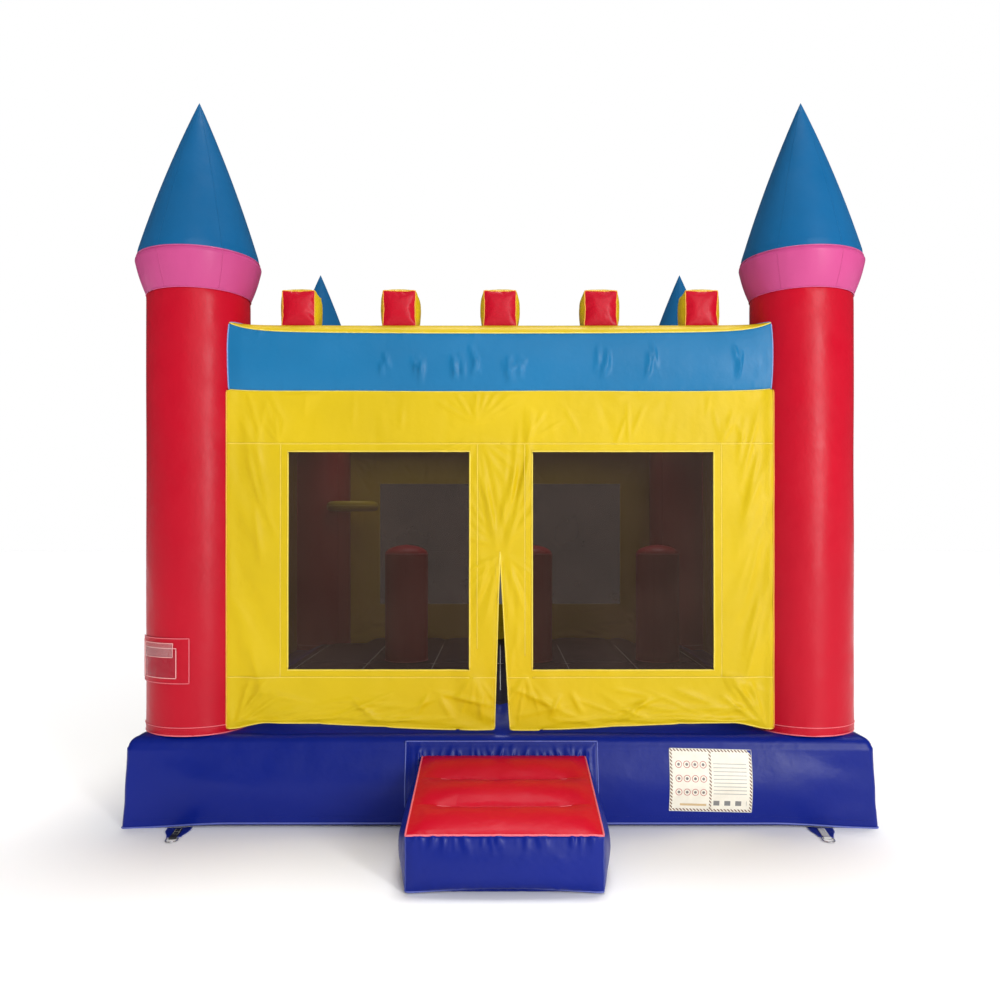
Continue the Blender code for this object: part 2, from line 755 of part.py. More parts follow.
def inflation_sleeve(frames):
    wall = [
        (SLEEVE_RADIUS, GAP),
        (SLEEVE_RADIUS, SLEEVE_LENGTH),
        (SLEEVE_RADIUS - SHEET, SLEEVE_LENGTH),
        (SLEEVE_RADIUS - SHEET, GAP),
    ]
    outside = SLEEVE_RADIUS + GAP
    strap = [
        (outside, STRAP_AT),
        (outside + SHEET, STRAP_AT),
        (outside + SHEET, STRAP_AT + STRAP_WIDTH),
        (outside, STRAP_AT + STRAP_WIDTH),
    ]
    location = (*SLEEVE_AT, 0.0)
    parent = frames["back"]
    place("inflation_sleeve", turned_mesh("sleeve", wall, ring=True), navy_vinyl(), location, parent=parent)
    place("sleeve_strap", turned_mesh("strap", strap, ring=True), webbing(), location, parent=parent)


def deflation_zipper(frames):
    parent = frames["back"]
    along, up = ZIPPER_AT
    length, height, thick = ZIPPER_SIZE
    low = (-length / 2, -height / 2, GAP)
    high = (length / 2, height / 2, GAP + thick)
    location = (along, up, 0.0)
    place("deflation_zipper", box_mesh("zipper", low, high), webbing(), location, parent=parent)
    slider_length, slider_height, slider_thick = SLIDER_SIZE
    low = (-slider_length / 2, -slider_height / 2, 0.0)
    slider = box_mesh("slider", low, (slider_length / 2, slider_height / 2, slider_thick))
    location = (along + SLIDER_START, up, thick + 2 * GAP)
    body = place("zipper_slider", slider, steel(), location, parent=parent)
    bevel = body.modifiers.new("soft_edges", "BEVEL")
    bevel.width = 0.0015
    bevel.segments = 1
    zipper_cover(parent)


def zipper_cover(parent):
    """Weather flap over the zipper; its origin is on its top edge, where it folds."""
    width, drop = COVER_SIZE
    out = COVER_STANDOFF
    outline = [
        (0.0, 0.001),
        (-0.02, out),
        (-drop, out),
        (-drop, out + 0.003),
        (-0.022, out + 0.003),
        (-0.001, 0.004),
    ]
    mesh = prism_mesh("zipper_cover", outline, width)
    turn = Matrix(((0, 0, 1, -width / 2), (1, 0, 0, 0), (0, 1, 0, 0), (0, 0, 0, 1)))
    mesh.transform(turn)
    location = (ZIPPER_AT[0], ZIPPER_AT[1] + drop / 2, 0.0)
    place("zipper_cover", mesh, navy_vinyl(), location, parent=parent)


def main():
    clear_scene()
    frames = face_frames()
    base_skirt(frames)
    ground_sheet()
    bounce_floor()
    floor_baffles()
    towers()
    beams()
    merlons()
    side_walls()
    front_wall()
    step(frames)
    anchors()
    pillars()
    hoop()
    info_panel(frames)
    document_pocket()
    inflation_sleeve(frames)
    deflation_zipper(frames)


main()
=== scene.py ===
"""Looks of the inflatable castle bounce house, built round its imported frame.

Every piece is made in metres in the frame's own axes: +Z up, -Y the entrance side, origin at the
centre of the base on the ground. Inflated pieces and wall sheets are shaped by short cloth runs or by
smooth surface formulas with seam puckers, and every material is a node tree.
"""
import json
import math

import bmesh
import bpy
import numpy as np
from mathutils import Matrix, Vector


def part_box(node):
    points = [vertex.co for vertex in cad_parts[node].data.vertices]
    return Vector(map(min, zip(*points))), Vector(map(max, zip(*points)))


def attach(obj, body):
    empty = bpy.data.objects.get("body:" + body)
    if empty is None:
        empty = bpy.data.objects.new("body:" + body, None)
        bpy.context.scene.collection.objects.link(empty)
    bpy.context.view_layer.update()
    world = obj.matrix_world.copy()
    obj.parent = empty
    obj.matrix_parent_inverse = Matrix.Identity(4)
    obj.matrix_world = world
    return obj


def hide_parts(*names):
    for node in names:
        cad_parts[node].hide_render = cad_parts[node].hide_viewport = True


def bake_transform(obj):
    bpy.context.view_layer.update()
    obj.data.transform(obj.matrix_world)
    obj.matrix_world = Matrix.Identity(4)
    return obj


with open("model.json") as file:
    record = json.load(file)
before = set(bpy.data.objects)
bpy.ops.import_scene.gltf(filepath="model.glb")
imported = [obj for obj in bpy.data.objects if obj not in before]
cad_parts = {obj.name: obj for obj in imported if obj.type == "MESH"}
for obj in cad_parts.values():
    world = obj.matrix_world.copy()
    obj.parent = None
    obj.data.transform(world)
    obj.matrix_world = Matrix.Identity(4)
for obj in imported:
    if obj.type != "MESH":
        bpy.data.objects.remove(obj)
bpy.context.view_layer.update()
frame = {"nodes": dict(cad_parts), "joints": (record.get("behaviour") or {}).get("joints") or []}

# ---------------------------------------------------------------- sizes read from the frame
BASE_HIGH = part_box("base_skirt")[1]
BASE_HALF = BASE_HIGH.x
BASE_TOP = BASE_HIGH.z
BASE_TOP_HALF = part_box("bounce_floor")[1].x + 0.009
FLOOR_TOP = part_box("bounce_floor")[1].z
COLUMN_LOW, COLUMN_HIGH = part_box("column_front_right")
TOWER_AT = (COLUMN_LOW.x + COLUMN_HIGH.x) / 2
COLUMN_RADIUS = 0.28
COLLAR_LOW, COLLAR_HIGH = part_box("collar_front_right")
COLLAR_RADIUS = (COLLAR_HIGH.x - COLLAR_LOW.x) / 2
CONE_LOW, CONE_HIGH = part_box("cone_front_right")
PANEL_LOW, PANEL_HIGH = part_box("front_panel")
WALL_PLANE = -(PANEL_LOW.y + PANEL_HIGH.y) / 2
PANEL_END = PANEL_HIGH.x
SHEET_END = PANEL_END + 0.014
BEAM_LOW, BEAM_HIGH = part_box("beam_front")
BEAM_INNER = -BEAM_HIGH.y
BEAM_HALF = 1.488
LEAN = (BASE_HALF - BASE_TOP_HALF) / BASE_TOP
JOINTS = {joint["name"]: joint for joint in frame["joints"]}

CLOTH_FRAMES = 16
THREAD = 0.0011

# ---------------------------------------------------------------- surface formulas


def smooth(value, low, high):
    """0 at or before low, 1 at or after high, and an even curve between them."""
    t = np.clip((np.asarray(value, float) - low) / (high - low), 0.0, 1.0)
    return t * t * (3.0 - 2.0 * t)


def waves(points, length, seed, count=8):
    """A smooth field over points, about -1 to 1, whose features are about length metres across."""
    random = np.random.default_rng(seed)
    points = np.asarray(points, float)
    total = np.zeros(points.shape[:-1])
    for _ in range(count):
        direction = random.normal(size=points.shape[-1])
        direction /= np.linalg.norm(direction)
        pace = 2 * math.pi / (length * random.uniform(0.7, 1.6))
        total += np.sin(points @ direction * pace + random.uniform(0, 2 * math.pi))
    return total / math.sqrt(count) / 1.3


def puckers(along, away, span, seed, pitch=0.05, reach=(0.03, 0.11), width=(0.006, 0.012),
            height=(0.001, 0.0035), lean=0.25, wrap=0.0):
    """Short ridges that start at a seam (away = 0), run off it and die out, at random places."""
    random = np.random.default_rng(seed)
    total = np.zeros(np.broadcast(along, away).shape)
    for _ in range(max(1, round((span[1] - span[0]) / pitch))):
        place = random.uniform(*span)
        far = random.uniform(*reach)
        wide = random.uniform(*width)
        high = random.uniform(*height)
        slant = random.uniform(-lean, lean)
        offset = along - place - slant * away
        if wrap:
            offset = (offset + wrap / 2) % wrap - wrap / 2
        across = np.abs(offset) / (wide * (1 + 1.2 * np.clip(away, 0, None) / far))
        fall = np.clip(1 - away / far, 0, 1) ** 1.4 * (away > -1e-9)
        total += high * np.exp(-across ** 1.7) * fall
    return total


def creases(x, z, marks):
    """Free ridges on a face: each mark is (x, z, degrees from +X, length, width, height)."""
    total = np.zeros(np.broadcast(x, z).shape)
    for cx, cz, degrees, length, width, height in marks:
        turn = math.radians(degrees)
        along = (x - cx) * math.cos(turn) + (z - cz) * math.sin(turn)
        across = (z - cz) * math.cos(turn) - (x - cx) * math.sin(turn)
        fall = np.clip(1 - (2 * along / length) ** 2, 0, 1) ** 1.2
        total += height * np.exp(-np.abs(across / width) ** 1.6) * fall
    return total


# ---------------------------------------------------------------- mesh building


def grid_faces(rows, cols, wrap=False):
    """The quads of a grid of points; wrap joins its last column to its first."""
    first = np.arange(rows - 1)[:, None] * cols
    col = np.arange(cols if wrap else cols - 1)[None, :]
    following = (col + 1) % cols
    quads = np.stack([first + col, first + following, first + cols + following, first + cols + col], -1)
    return quads.reshape(-1, 4)


def ring_faces(rows, cols):
    """The quads of a grid whose last row and column join its first."""
    last = (rows - 1) * cols
    joined = [[last + i, last + (i + 1) % cols, (i + 1) % cols, i] for i in range(cols)]
    return grid_faces(rows, cols, True).tolist() + joined


def weld(points):
    """Merge points within a hundredth of a millimetre: the points left, and each old point's new number."""
    places = np.round(points * 1e5).astype(np.int64)
    _, first, inverse = np.unique(places, axis=0, return_index=True, return_inverse=True)
    return points[first], inverse.reshape(-1)


def vertex_normals(points, faces):
    """Unit normals of a mesh of quads, from its faces' diagonals."""
    quads = np.asarray(faces)
    cross = np.cross(points[quads[:, 2]] - points[quads[:, 0]], points[quads[:, 3]] - points[quads[:, 1]])
    total = np.zeros_like(points)
    for k in range(4):
        np.add.at(total, quads[:, k], cross)
    return total / np.maximum(np.linalg.norm(total, axis=1, keepdims=True), 1e-12)


def tangents(path, closed):
    """Unit tangents of a polyline."""
    path = np.asarray(path, float)
    if closed:
        ahead = np.roll(path, -1, 0) - np.roll(path, 1, 0)
    else:
        ahead = np.gradient(path, axis=0)
    return ahead / np.maximum(np.linalg.norm(ahead, axis=1, keepdims=True), 1e-12)


def resampled(path, pitch, closed=False):
    """The same line with its points an even pitch apart."""
    path = np.asarray(path, float)
    if closed:
        path = np.vstack([path, path[:1]])
    reach = np.concatenate([[0.0], np.cumsum(np.linalg.norm(np.diff(path, axis=0), axis=1))])
    count = max(2, round(reach[-1] / pitch) + 1)
    places = np.linspace(0.0, reach[-1], count)
    made = np.stack([np.interp(places, reach, path[:, k]) for k in range(3)], -1)
    return made[:-1] if closed else made


class Piece:
    """Geometry of one named piece, gathered part by part, each part with its own material."""

    def __init__(self, name):
        self.name = name
        self.points = []
        self.faces = []
        self.marks = []
        self.materials = []
        self.count = 0

    def add(self, points, faces, mat):
        if mat not in self.materials:
            self.materials.append(mat)
        points = np.asarray(points, float).reshape(-1, 3)
        self.points.append(points)
        self.faces.extend([[int(i) + self.count for i in face] for face in faces])
        self.marks.extend([self.materials.index(mat)] * len(faces))
        self.count += len(points)
        return self

    def grid(self, points, mat, wrap=False):
        rows, cols = points.shape[:2]
        return self.add(points, grid_faces(rows, cols, wrap).tolist(), mat)

    def tube(self, path, radius, mat, closed=False, sides=6, flat=1.0, up=None):
        """A round or flattened bead along a line."""
        path = np.asarray(path, float)
        tangent = tangents(path, closed)
        if up is None:
            guide = np.where(np.abs(tangent[:, 2:3]) > 0.9, [[0.0, 1.0, 0.0]], [[0.0, 0.0, 1.0]])
        else:
            guide = np.broadcast_to(np.asarray(up, float), path.shape)
        side = np.cross(tangent, guide)
        side /= np.maximum(np.linalg.norm(side, axis=1, keepdims=True), 1e-12)
        lift = np.cross(side, tangent)
        turns = np.arange(sides) * 2 * math.pi / sides
        ring = (side[:, None] * np.cos(turns)[None, :, None]
                + lift[:, None] * np.sin(turns)[None, :, None] * flat)
        points = path[:, None] + radius * ring
        count = len(path)
        if closed:
            return self.add(points, ring_faces(count, sides), mat)
        faces = grid_faces(count, sides, True).tolist()
        faces += [list(range(sides))[::-1], [(count - 1) * sides + i for i in range(sides)]]
        return self.add(points, faces, mat)

    def stitches(self, path, up, mat, pitch=0.011, length=0.007):
        """A row of short raised threads along a line; up is the surface's outward direction."""
        path = np.asarray(path, float)
        reach = np.concatenate([[0.0], np.cumsum(np.linalg.norm(np.diff(path, axis=0), axis=1))])
        up = np.broadcast_to(np.asarray(up, float), path.shape)
        places = np.arange(pitch / 2, reach[-1] - length, pitch)
        starts = np.stack([np.interp(places, reach, path[:, k]) for k in range(3)], -1)
        ends = np.stack([np.interp(places + length, reach, path[:, k]) for k in range(3)], -1)
        lift = np.stack([np.interp(places, reach, up[:, k]) for k in range(3)], -1)
        along = ends - starts
        side = np.cross(along, lift)
        side *= THREAD / np.maximum(np.linalg.norm(side, axis=1, keepdims=True), 1e-12)
        top = (starts + ends) / 2 + lift * THREAD * 1.2
        corners = np.stack([starts, (starts + ends) / 2 - side, ends, (starts + ends) / 2 + side, top], 1)
        faces = []
        for i in range(len(corners)):
            for a, b in ((0, 1), (1, 2), (2, 3), (3, 0)):
                faces.append([5 * i + a, 5 * i + b, 5 * i + 4])
            faces.append([5 * i + 3, 5 * i + 2, 5 * i + 1, 5 * i])
        if len(corners):
            self.add(corners, faces, mat)
        return self

    def make(self, body, replaces, slot, merge=2e-5, outward=True):
        """The piece as an object, attached to its body, or left unattached when body is None."""
        mesh = bpy.data.meshes.new(self.name)
        mesh.from_pydata(np.concatenate(self.points).tolist(), [], self.faces)
        for mat in self.materials:
            mesh.materials.append(mat)
        mesh.polygons.foreach_set("material_index", self.marks)
        if merge:
            bm = bmesh.new()
            bm.from_mesh(mesh)
            bmesh.ops.remove_doubles(bm, verts=bm.verts, dist=merge)
            bmesh.ops.delete(bm, geom=[vert for vert in bm.verts if not vert.link_faces], context="VERTS")
            if outward:
                bmesh.ops.recalc_face_normals(bm, faces=bm.faces)
            bm.to_mesh(mesh)
            bm.free()
        mesh.shade_smooth()
        obj = bpy.data.objects.new(self.name, mesh)
        bpy.context.scene.collection.objects.link(obj)
        if body:
            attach(obj, body)
        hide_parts(*replaces)
        return obj


def refined(points, faces, marks):
    """Subdivide a mesh smoothly, once; the coarse points keep their places in the list."""
    mesh = bpy.data.meshes.new("coarse")
    mesh.from_pydata(points.tolist(), [], [list(map(int, face)) for face in faces])
    for _ in range(max(marks) + 1):
        mesh.materials.append(None)
    mesh.polygons.foreach_set("material_index", marks)
    obj = bpy.data.objects.new("coarse", mesh)
    bpy.context.scene.collection.objects.link(obj)
    subdivision = obj.modifiers.new("refine", "SUBSURF")
    subdivision.levels = subdivision.render_levels = 1
    graph = bpy.context.evaluated_depsgraph_get()
    result = obj.evaluated_get(graph).to_mesh()
    made = np.zeros(len(result.vertices) * 3, np.float32)
    result.vertices.foreach_get("co", made)
    corners = np.zeros(len(result.loops), np.int32)
    result.loops.foreach_get("vertex_index", corners)
    made_marks = np.zeros(len(result.polygons), np.int32)
    result.polygons.foreach_get("material_index", made_marks)
    obj.evaluated_get(graph).to_mesh_clear()
    bpy.data.objects.remove(obj, do_unlink=True)
    return made.reshape(-1, 3).astype(float), corners.reshape(-1, 4), made_marks


# ---------------------------------------------------------------- cloth runs


class Cloth:
    """Fabric that is blown up or hung by a short simulation before its piece is made."""

    waiting = []

    def __init__(self, name, start, faces, pinned, flat, pressure=0.0, bending=0.5, gravity=0.0):
        self.start = np.asarray(start, float)
        self.faces = np.asarray(faces)
        mesh = bpy.data.meshes.new(name + "_cloth")
        mesh.from_pydata(self.start.tolist(), [], self.faces.tolist())
        self.obj = bpy.data.objects.new(name + "_cloth", mesh)
        bpy.context.scene.collection.objects.link(self.obj)
        group = self.obj.vertex_groups.new(name="pins")
        group.add(np.nonzero(pinned)[0].tolist(), 1.0, "REPLACE")
        run = self.obj.modifiers.new("run", "CLOTH")
        settings = run.settings
        settings.quality = 5
        settings.mass = 0.15
        settings.tension_stiffness = 40.0
        settings.compression_stiffness = 20.0
        settings.shear_stiffness = 10.0
        settings.bending_stiffness = bending
        settings.tension_damping = 5.0
        settings.compression_damping = 5.0
        settings.shear_damping = 5.0
        if pressure:
            settings.use_pressure = True
            settings.uniform_pressure_force = pressure
        self.obj.shape_key_add(name="Basis")
        key = self.obj.shape_key_add(name="flat")
        key.data.foreach_set("co", np.asarray(flat, np.float32).ravel())
        settings.rest_shape_key = key
        settings.vertex_group_mass = "pins"
        settings.effector_weights.gravity = gravity
        run.point_cache.frame_start = 1
        run.point_cache.frame_end = CLOTH_FRAMES
        Cloth.waiting.append(self)

    @classmethod
    def run_all(cls):
        """Run every waiting cloth at once, and keep where its points settled."""
        for step in range(1, CLOTH_FRAMES + 1):
            bpy.context.scene.frame_set(step)
        graph = bpy.context.evaluated_depsgraph_get()
        for cloth in cls.waiting:
            co = np.zeros(len(cloth.start) * 3, np.float32)
            cloth.obj.evaluated_get(graph).data.vertices.foreach_get("co", co)
            cloth.points = co.reshape(-1, 3).astype(float)
        for cloth in cls.waiting:
            bpy.data.objects.remove(cloth.obj, do_unlink=True)
        bpy.context.scene.frame_set(1)

    def settled(self, cap):
        """The simulated points, none more than cap from where it started."""
        moved = self.points - self.start
        reach = np.linalg.norm(moved, axis=1, keepdims=True)
        return self.start + moved * np.minimum(1.0, cap / np.maximum(reach, 1e-9))


# ---------------------------------------------------------------- materials


def linear(red, green, blue):
    """A screen colour from 0 to 255 as the shader's linear colour."""
    made = []
    for value in (red, green, blue):
        part = value / 255
        made.append(part / 12.92 if part <= 0.04045 else ((part + 0.055) / 1.055) ** 2.4)
    return (*made, 1.0)


class Nodes:
    """One material's node tree, built by short calls."""

    def __init__(self, name, roughness=0.5, metallic=0.0):
        self.material = bpy.data.materials.new(name)
        self.material.use_nodes = True
        self.tree = self.material.node_tree
        self.shader = self.tree.nodes["Principled BSDF"]
        self.shader.inputs["Roughness"].default_value = roughness
        self.shader.inputs["Metallic"].default_value = metallic
        self.place = self.tree.nodes.new("ShaderNodeTexCoord").outputs["Object"]

    def feed(self, socket, value):
        """Link another node's output to a socket, or set the socket's own value."""
        if isinstance(value, bpy.types.NodeSocket):
            self.tree.links.new(value, socket)
        else:
            socket.default_value = value

    def node(self, kind, inputs, **settings):
        made = self.tree.nodes.new(kind)
        for key, value in settings.items():
            setattr(made, key, value)
        for key, value in inputs.items():
            self.feed(made.inputs[key], value)
        return made

    def noise(self, scale, detail=3.0, rough=0.5):
        inputs = {"Vector": self.place, "Scale": scale, "Detail": detail, "Roughness": rough}
        return self.node("ShaderNodeTexNoise", inputs).outputs["Fac"]

    def ranged(self, value, low, high, to_low, to_high):
        inputs = {"Value": value, "From Min": low, "From Max": high, "To Min": to_low, "To Max": to_high}
        return self.node("ShaderNodeMapRange", inputs).outputs["Result"]

    def mixed(self, fac, first, second):
        made = self.tree.nodes.new("ShaderNodeMix")
        made.data_type = "RGBA"
        for name, value in (("Factor", fac), ("A", first), ("B", second)):
            socket = next(s for s in made.inputs if s.name == name and (name == "Factor" or s.type == "RGBA"))
            self.feed(socket, value)
        return next(s for s in made.outputs if s.type == "RGBA")

    def math(self, operation, first, second=0.0, third=0.0):
        made = self.tree.nodes.new("ShaderNodeMath")
        made.operation = operation
        for socket, value in zip(made.inputs, (first, second, third)):
            self.feed(socket, value)
        return made.outputs[0]

    def bump(self, height, distance, strength=1.0, under=None):
        inputs = {"Height": height, "Distance": distance, "Strength": strength}
        if under is not None:
            inputs["Normal"] = under
        return self.node("ShaderNodeBump", inputs).outputs["Normal"]

    def colour(self, value):
        self.set("Base Color", value)

    def set(self, name, value):
        self.feed(self.shader.inputs[name], value)


def scaled(colour, factor):
    """A colour made darker or brighter."""
    return (*[min(1.0, value * factor) for value in colour[:3]], 1.0)


def vinyl(name, colour, roughness=0.36, dust=0.02, gloss=0.20):
    """Coated tarpaulin: soft tone changes, faint dust low down, handling marks and a fine grain."""
    made = Nodes(name, roughness)
    broad = made.ranged(made.noise(1.3, 3.0), 0.3, 0.7, 0.0, 1.0)
    tone = made.mixed(broad, scaled(colour, 0.93), scaled(colour, 1.06))
    marks = made.ranged(made.noise(9.0, 5.0, 0.65), 0.55, 0.8, 0.0, 0.10)
    tone = made.mixed(marks, tone, scaled(colour, 0.78))
    height = made.node("ShaderNodeSeparateXYZ", {"Vector": made.place}).outputs["Z"]
    low = made.ranged(height, 0.0, 0.30, dust, 0.0)
    low = made.math("MULTIPLY", low, made.ranged(made.noise(4.0, 5.0, 0.7), 0.3, 0.7, 0.2, 1.2))
    tone = made.mixed(low, tone, linear(150, 140, 125))
    made.colour(tone)
    worn = made.noise(6.0, 4.0, 0.6)
    made.set("Roughness", made.ranged(worn, 0.3, 0.7, roughness - 0.05, roughness + 0.08))
    soft = made.bump(made.noise(7.0, 3.0), 0.012, 0.35)
    peel = made.bump(made.noise(55.0, 2.0), 0.0012, 0.30, soft)
    grain = made.bump(made.noise(800.0, 2.0), 0.0003, 0.25, peel)
    made.set("Normal", grain)
    made.set("Specular IOR Level", gloss)
    return made.material


def welt_vinyl(name, colour):
    """Folded edge binding: paler than the fabric, ribbed across and slightly scuffed."""
    made = Nodes(name, 0.42)
    scuffs = made.ranged(made.noise(30.0, 4.0, 0.7), 0.35, 0.7, 0.0, 1.0)
    made.colour(made.mixed(scuffs, scaled(colour, 0.86), colour))
    made.set("Normal", made.bump(made.noise(220.0, 2.0), 0.0006, 0.5))
    return made.material


def clear_film(name, colour, alpha):
    """Clear window film: thin, glossy, slightly milky."""
    made = Nodes(name, 0.12)
    milk = made.ranged(made.noise(25.0, 3.0), 0.4, 0.8, 0.0, 0.5)
    made.colour(made.mixed(milk, colour, scaled(colour, 0.8)))
    made.set("Alpha", alpha)
    made.set("Normal", made.bump(made.noise(18.0, 2.0), 0.003, 0.4))
    return made.material


def thread(name, colour):
    """Sewing thread, with the grain of its twist."""
    made = Nodes(name, 0.7)
    made.colour(made.mixed(made.noise(300.0, 2.0), scaled(colour, 0.8), colour))
    made.set("Normal", made.bump(made.noise(1500.0, 1.0), 0.0002, 0.6))
    return made.material


def netting(name, cover):
    """Dark safety net, seen from too far off to tell its holes apart; cover is the share it hides."""
    made = Nodes(name, 0.75)
    tone = made.mixed(made.ranged(made.noise(3.0, 4.0), 0.3, 0.7, 0.0, 1.0),
                      (0.022, 0.013, 0.009, 1.0), (0.034, 0.021, 0.015, 1.0))
    made.colour(tone)
    made.set("Alpha", cover)
    made.set("Specular IOR Level", 0.15)
    return made.material


def web_cloth(name, colour, roughness=0.75):
    """Narrow woven webbing with its diagonal rib."""
    made = Nodes(name, roughness)
    wave = made.node("ShaderNodeTexWave", {"Vector": made.place, "Scale": 130.0, "Distortion": 0.4},
                     wave_type="BANDS", bands_direction="DIAGONAL")
    rib = made.ranged(wave.outputs["Fac"], 0.0, 1.0, 0.0, 1.0)
    made.colour(made.mixed(rib, scaled(colour, 0.6), colour))
    made.set("Normal", made.bump(rib, 0.0006, 0.6))
    return made.material


def metal(name):
    """Bright zinc-plated steel with duller patches."""
    made = Nodes(name, 0.28, 1.0)
    tone = made.mixed(made.ranged(made.noise(60.0, 4.0, 0.7), 0.4, 0.75, 0.0, 1.0),
                      (0.62, 0.62, 0.63, 1.0), (0.34, 0.33, 0.31, 1.0))
    made.colour(tone)
    made.set("Roughness", made.ranged(made.noise(120.0, 3.0), 0.3, 0.7, 0.20, 0.42))
    made.set("Normal", made.bump(made.noise(420.0, 2.0), 0.0002, 0.3))
    return made.material


RED_COLOUR = linear(183, 6, 34)
YELLOW_COLOUR = linear(205, 176, 12)
NAVY_COLOUR = linear(6, 28, 122)
SKY_COLOUR = linear(24, 110, 159)
PINK_COLOUR = linear(190, 72, 130)

RED = vinyl("red_vinyl", RED_COLOUR)
TREAD_RED = vinyl("tread_vinyl", linear(190, 6, 36), gloss=0.09)
YELLOW = vinyl("yellow_vinyl", YELLOW_COLOUR, 0.44)
NAVY = vinyl("navy_vinyl", NAVY_COLOUR, 0.34, 0.012)
SKY = vinyl("sky_vinyl", SKY_COLOUR)
# The cones' vinyl is the beams' sky blue darkened: painted shade to offset the overhead sun on their upward
# faces.
CONE_SKY_PAINTED_SHADE = vinyl("cone_vinyl_painted_shade", linear(16, 92, 142))
PINK = vinyl("pink_vinyl", PINK_COLOUR)
RED_WELT = welt_vinyl("red_welt", linear(236, 110, 122))
YELLOW_WELT = welt_vinyl("yellow_welt", linear(236, 212, 74))
ORANGE_WELT = welt_vinyl("orange_welt", linear(232, 170, 50))
NAVY_WELT = welt_vinyl("navy_welt", linear(92, 104, 184))
SKY_WELT = welt_vinyl("sky_welt", linear(130, 160, 214))
PINK_WELT = welt_vinyl("pink_welt", linear(200, 82, 140))
RED_THREAD = thread("red_thread", linear(224, 70, 84))
YELLOW_THREAD = thread("yellow_thread", linear(236, 216, 96))
NAVY_THREAD = thread("navy_thread", linear(52, 66, 150))
SKY_THREAD = thread("sky_thread", linear(70, 140, 190))
# Thread for the floor inside the walls, darkened as painted shade to go with that floor.
FLOOR_THREAD_PAINTED_SHADE = thread("floor_thread_painted_shade", linear(34, 36, 70))
WHITE_THREAD = thread("white_thread", linear(225, 225, 220))
NET = netting("safety_net", 0.80)
WALL_NET = netting("wall_safety_net", 0.92)
# Near-black vinyl for the floor inside the walls: painted shade of the walled-in interior, not a colour of
# its own.
FLOOR_PAINTED_SHADE = vinyl("floor_vinyl_painted_shade", linear(26, 20, 34), 0.5, 0.0)
WEBBING = web_cloth("black_webbing", linear(38, 38, 42))
# Near-white webbing used only on the front right anchor tab: a painted highlight standing in for glare on
# that strap.
WEBBING_PAINTED_GLARE = web_cloth("pale_webbing_painted_glare", linear(214, 214, 212))
STEEL = metal("ring_steel")
for baffle_slot in frame["nodes"]["floor_baffles"].material_slots:
    baffle_slot.material = web_cloth("baffle_cloth", linear(208, 206, 198))


# ---------------------------------------------------------------- base

SIDE_TURNS = {"front": 0, "right": 1, "back": 2, "left": 3}
CORNERS = {"front_left": (-1, -1), "front_right": (1, -1), "back_left": (-1, 1), "back_right": (1, 1)}
EDGE_ROUND = 0.062
SEAM_LIFT = 0.022
LEDGE_INNER = 1.845
CORNER_FLARE = 0.027
SLEEVE_HOLE = 0.134
FLOOR_CHANNEL = 0.5


def face_bulge(x, z, back=False):
    """How far a side of the base stands out from its flat slope, x metres along it, at height z.

    The back stays flat from the zipper to the inlet, which are sewn over firm patches.
    """
    across = smooth(BASE_HALF - np.abs(x), 0.03, 0.55)
    upright = np.sin(np.clip((z - 0.01) / 0.42, 0, 1) * math.pi) ** 1.5
    ripple = 0.0016 * waves(np.stack(np.broadcast_arrays(x, z * 2.0), -1), 0.35, 11)
    ripple = ripple * smooth(upright, 0.1, 0.6)
    full = 0.036 * across * upright + ripple
    firm = np.where(back, 1 - smooth(np.abs(x), 1.22, 1.45), 0.0)
    return full * (1 - firm)


def face_point(side, x, z, lift=0.0):
    """A point on a side of the base: x along it from its left end to its right, seen from outside."""
    x = np.asarray(x, float)
    z = np.asarray(z, float)
    out = BASE_HALF - LEAN * z + face_bulge(x, z, side == "back") + lift
    local = np.stack(np.broadcast_arrays(x, -out, z), -1)
    return turned(local, SIDE_TURNS[side])


def turned(points, quarters):
    """Turn points about Z by quarter turns."""
    x, y, z = points[..., 0], points[..., 1], points[..., 2]
    for _ in range(quarters % 4):
        x, y = -y, x
    return np.stack([x, y, z], -1)


def outward_from(side):
    """The direction a side of the house faces."""
    return turned(np.array([0.0, -1.0, 0.0]), SIDE_TURNS[side])


def plan_stations(straight=300, corner=12):
    """Points round a rounded square: centre-line and corner-arc directions, and distance to the corner."""
    centre, arc, quarter, along = [], [], [], []
    for side in range(4):
        for s in np.linspace(-1, 1, straight):
            centre.append((s, -1.0))
            arc.append((0.0, -1.0))
            quarter.append(side)
            along.append(s)
        for i in range(1, corner):
            angle = i * math.pi / 2 / corner
            centre.append((1.0, -1.0))
            arc.append((math.sin(angle), -math.cos(angle)))
            quarter.append(side)
            along.append(1.0)
    return np.array(centre), np.array(arc), np.array(quarter), np.array(along)


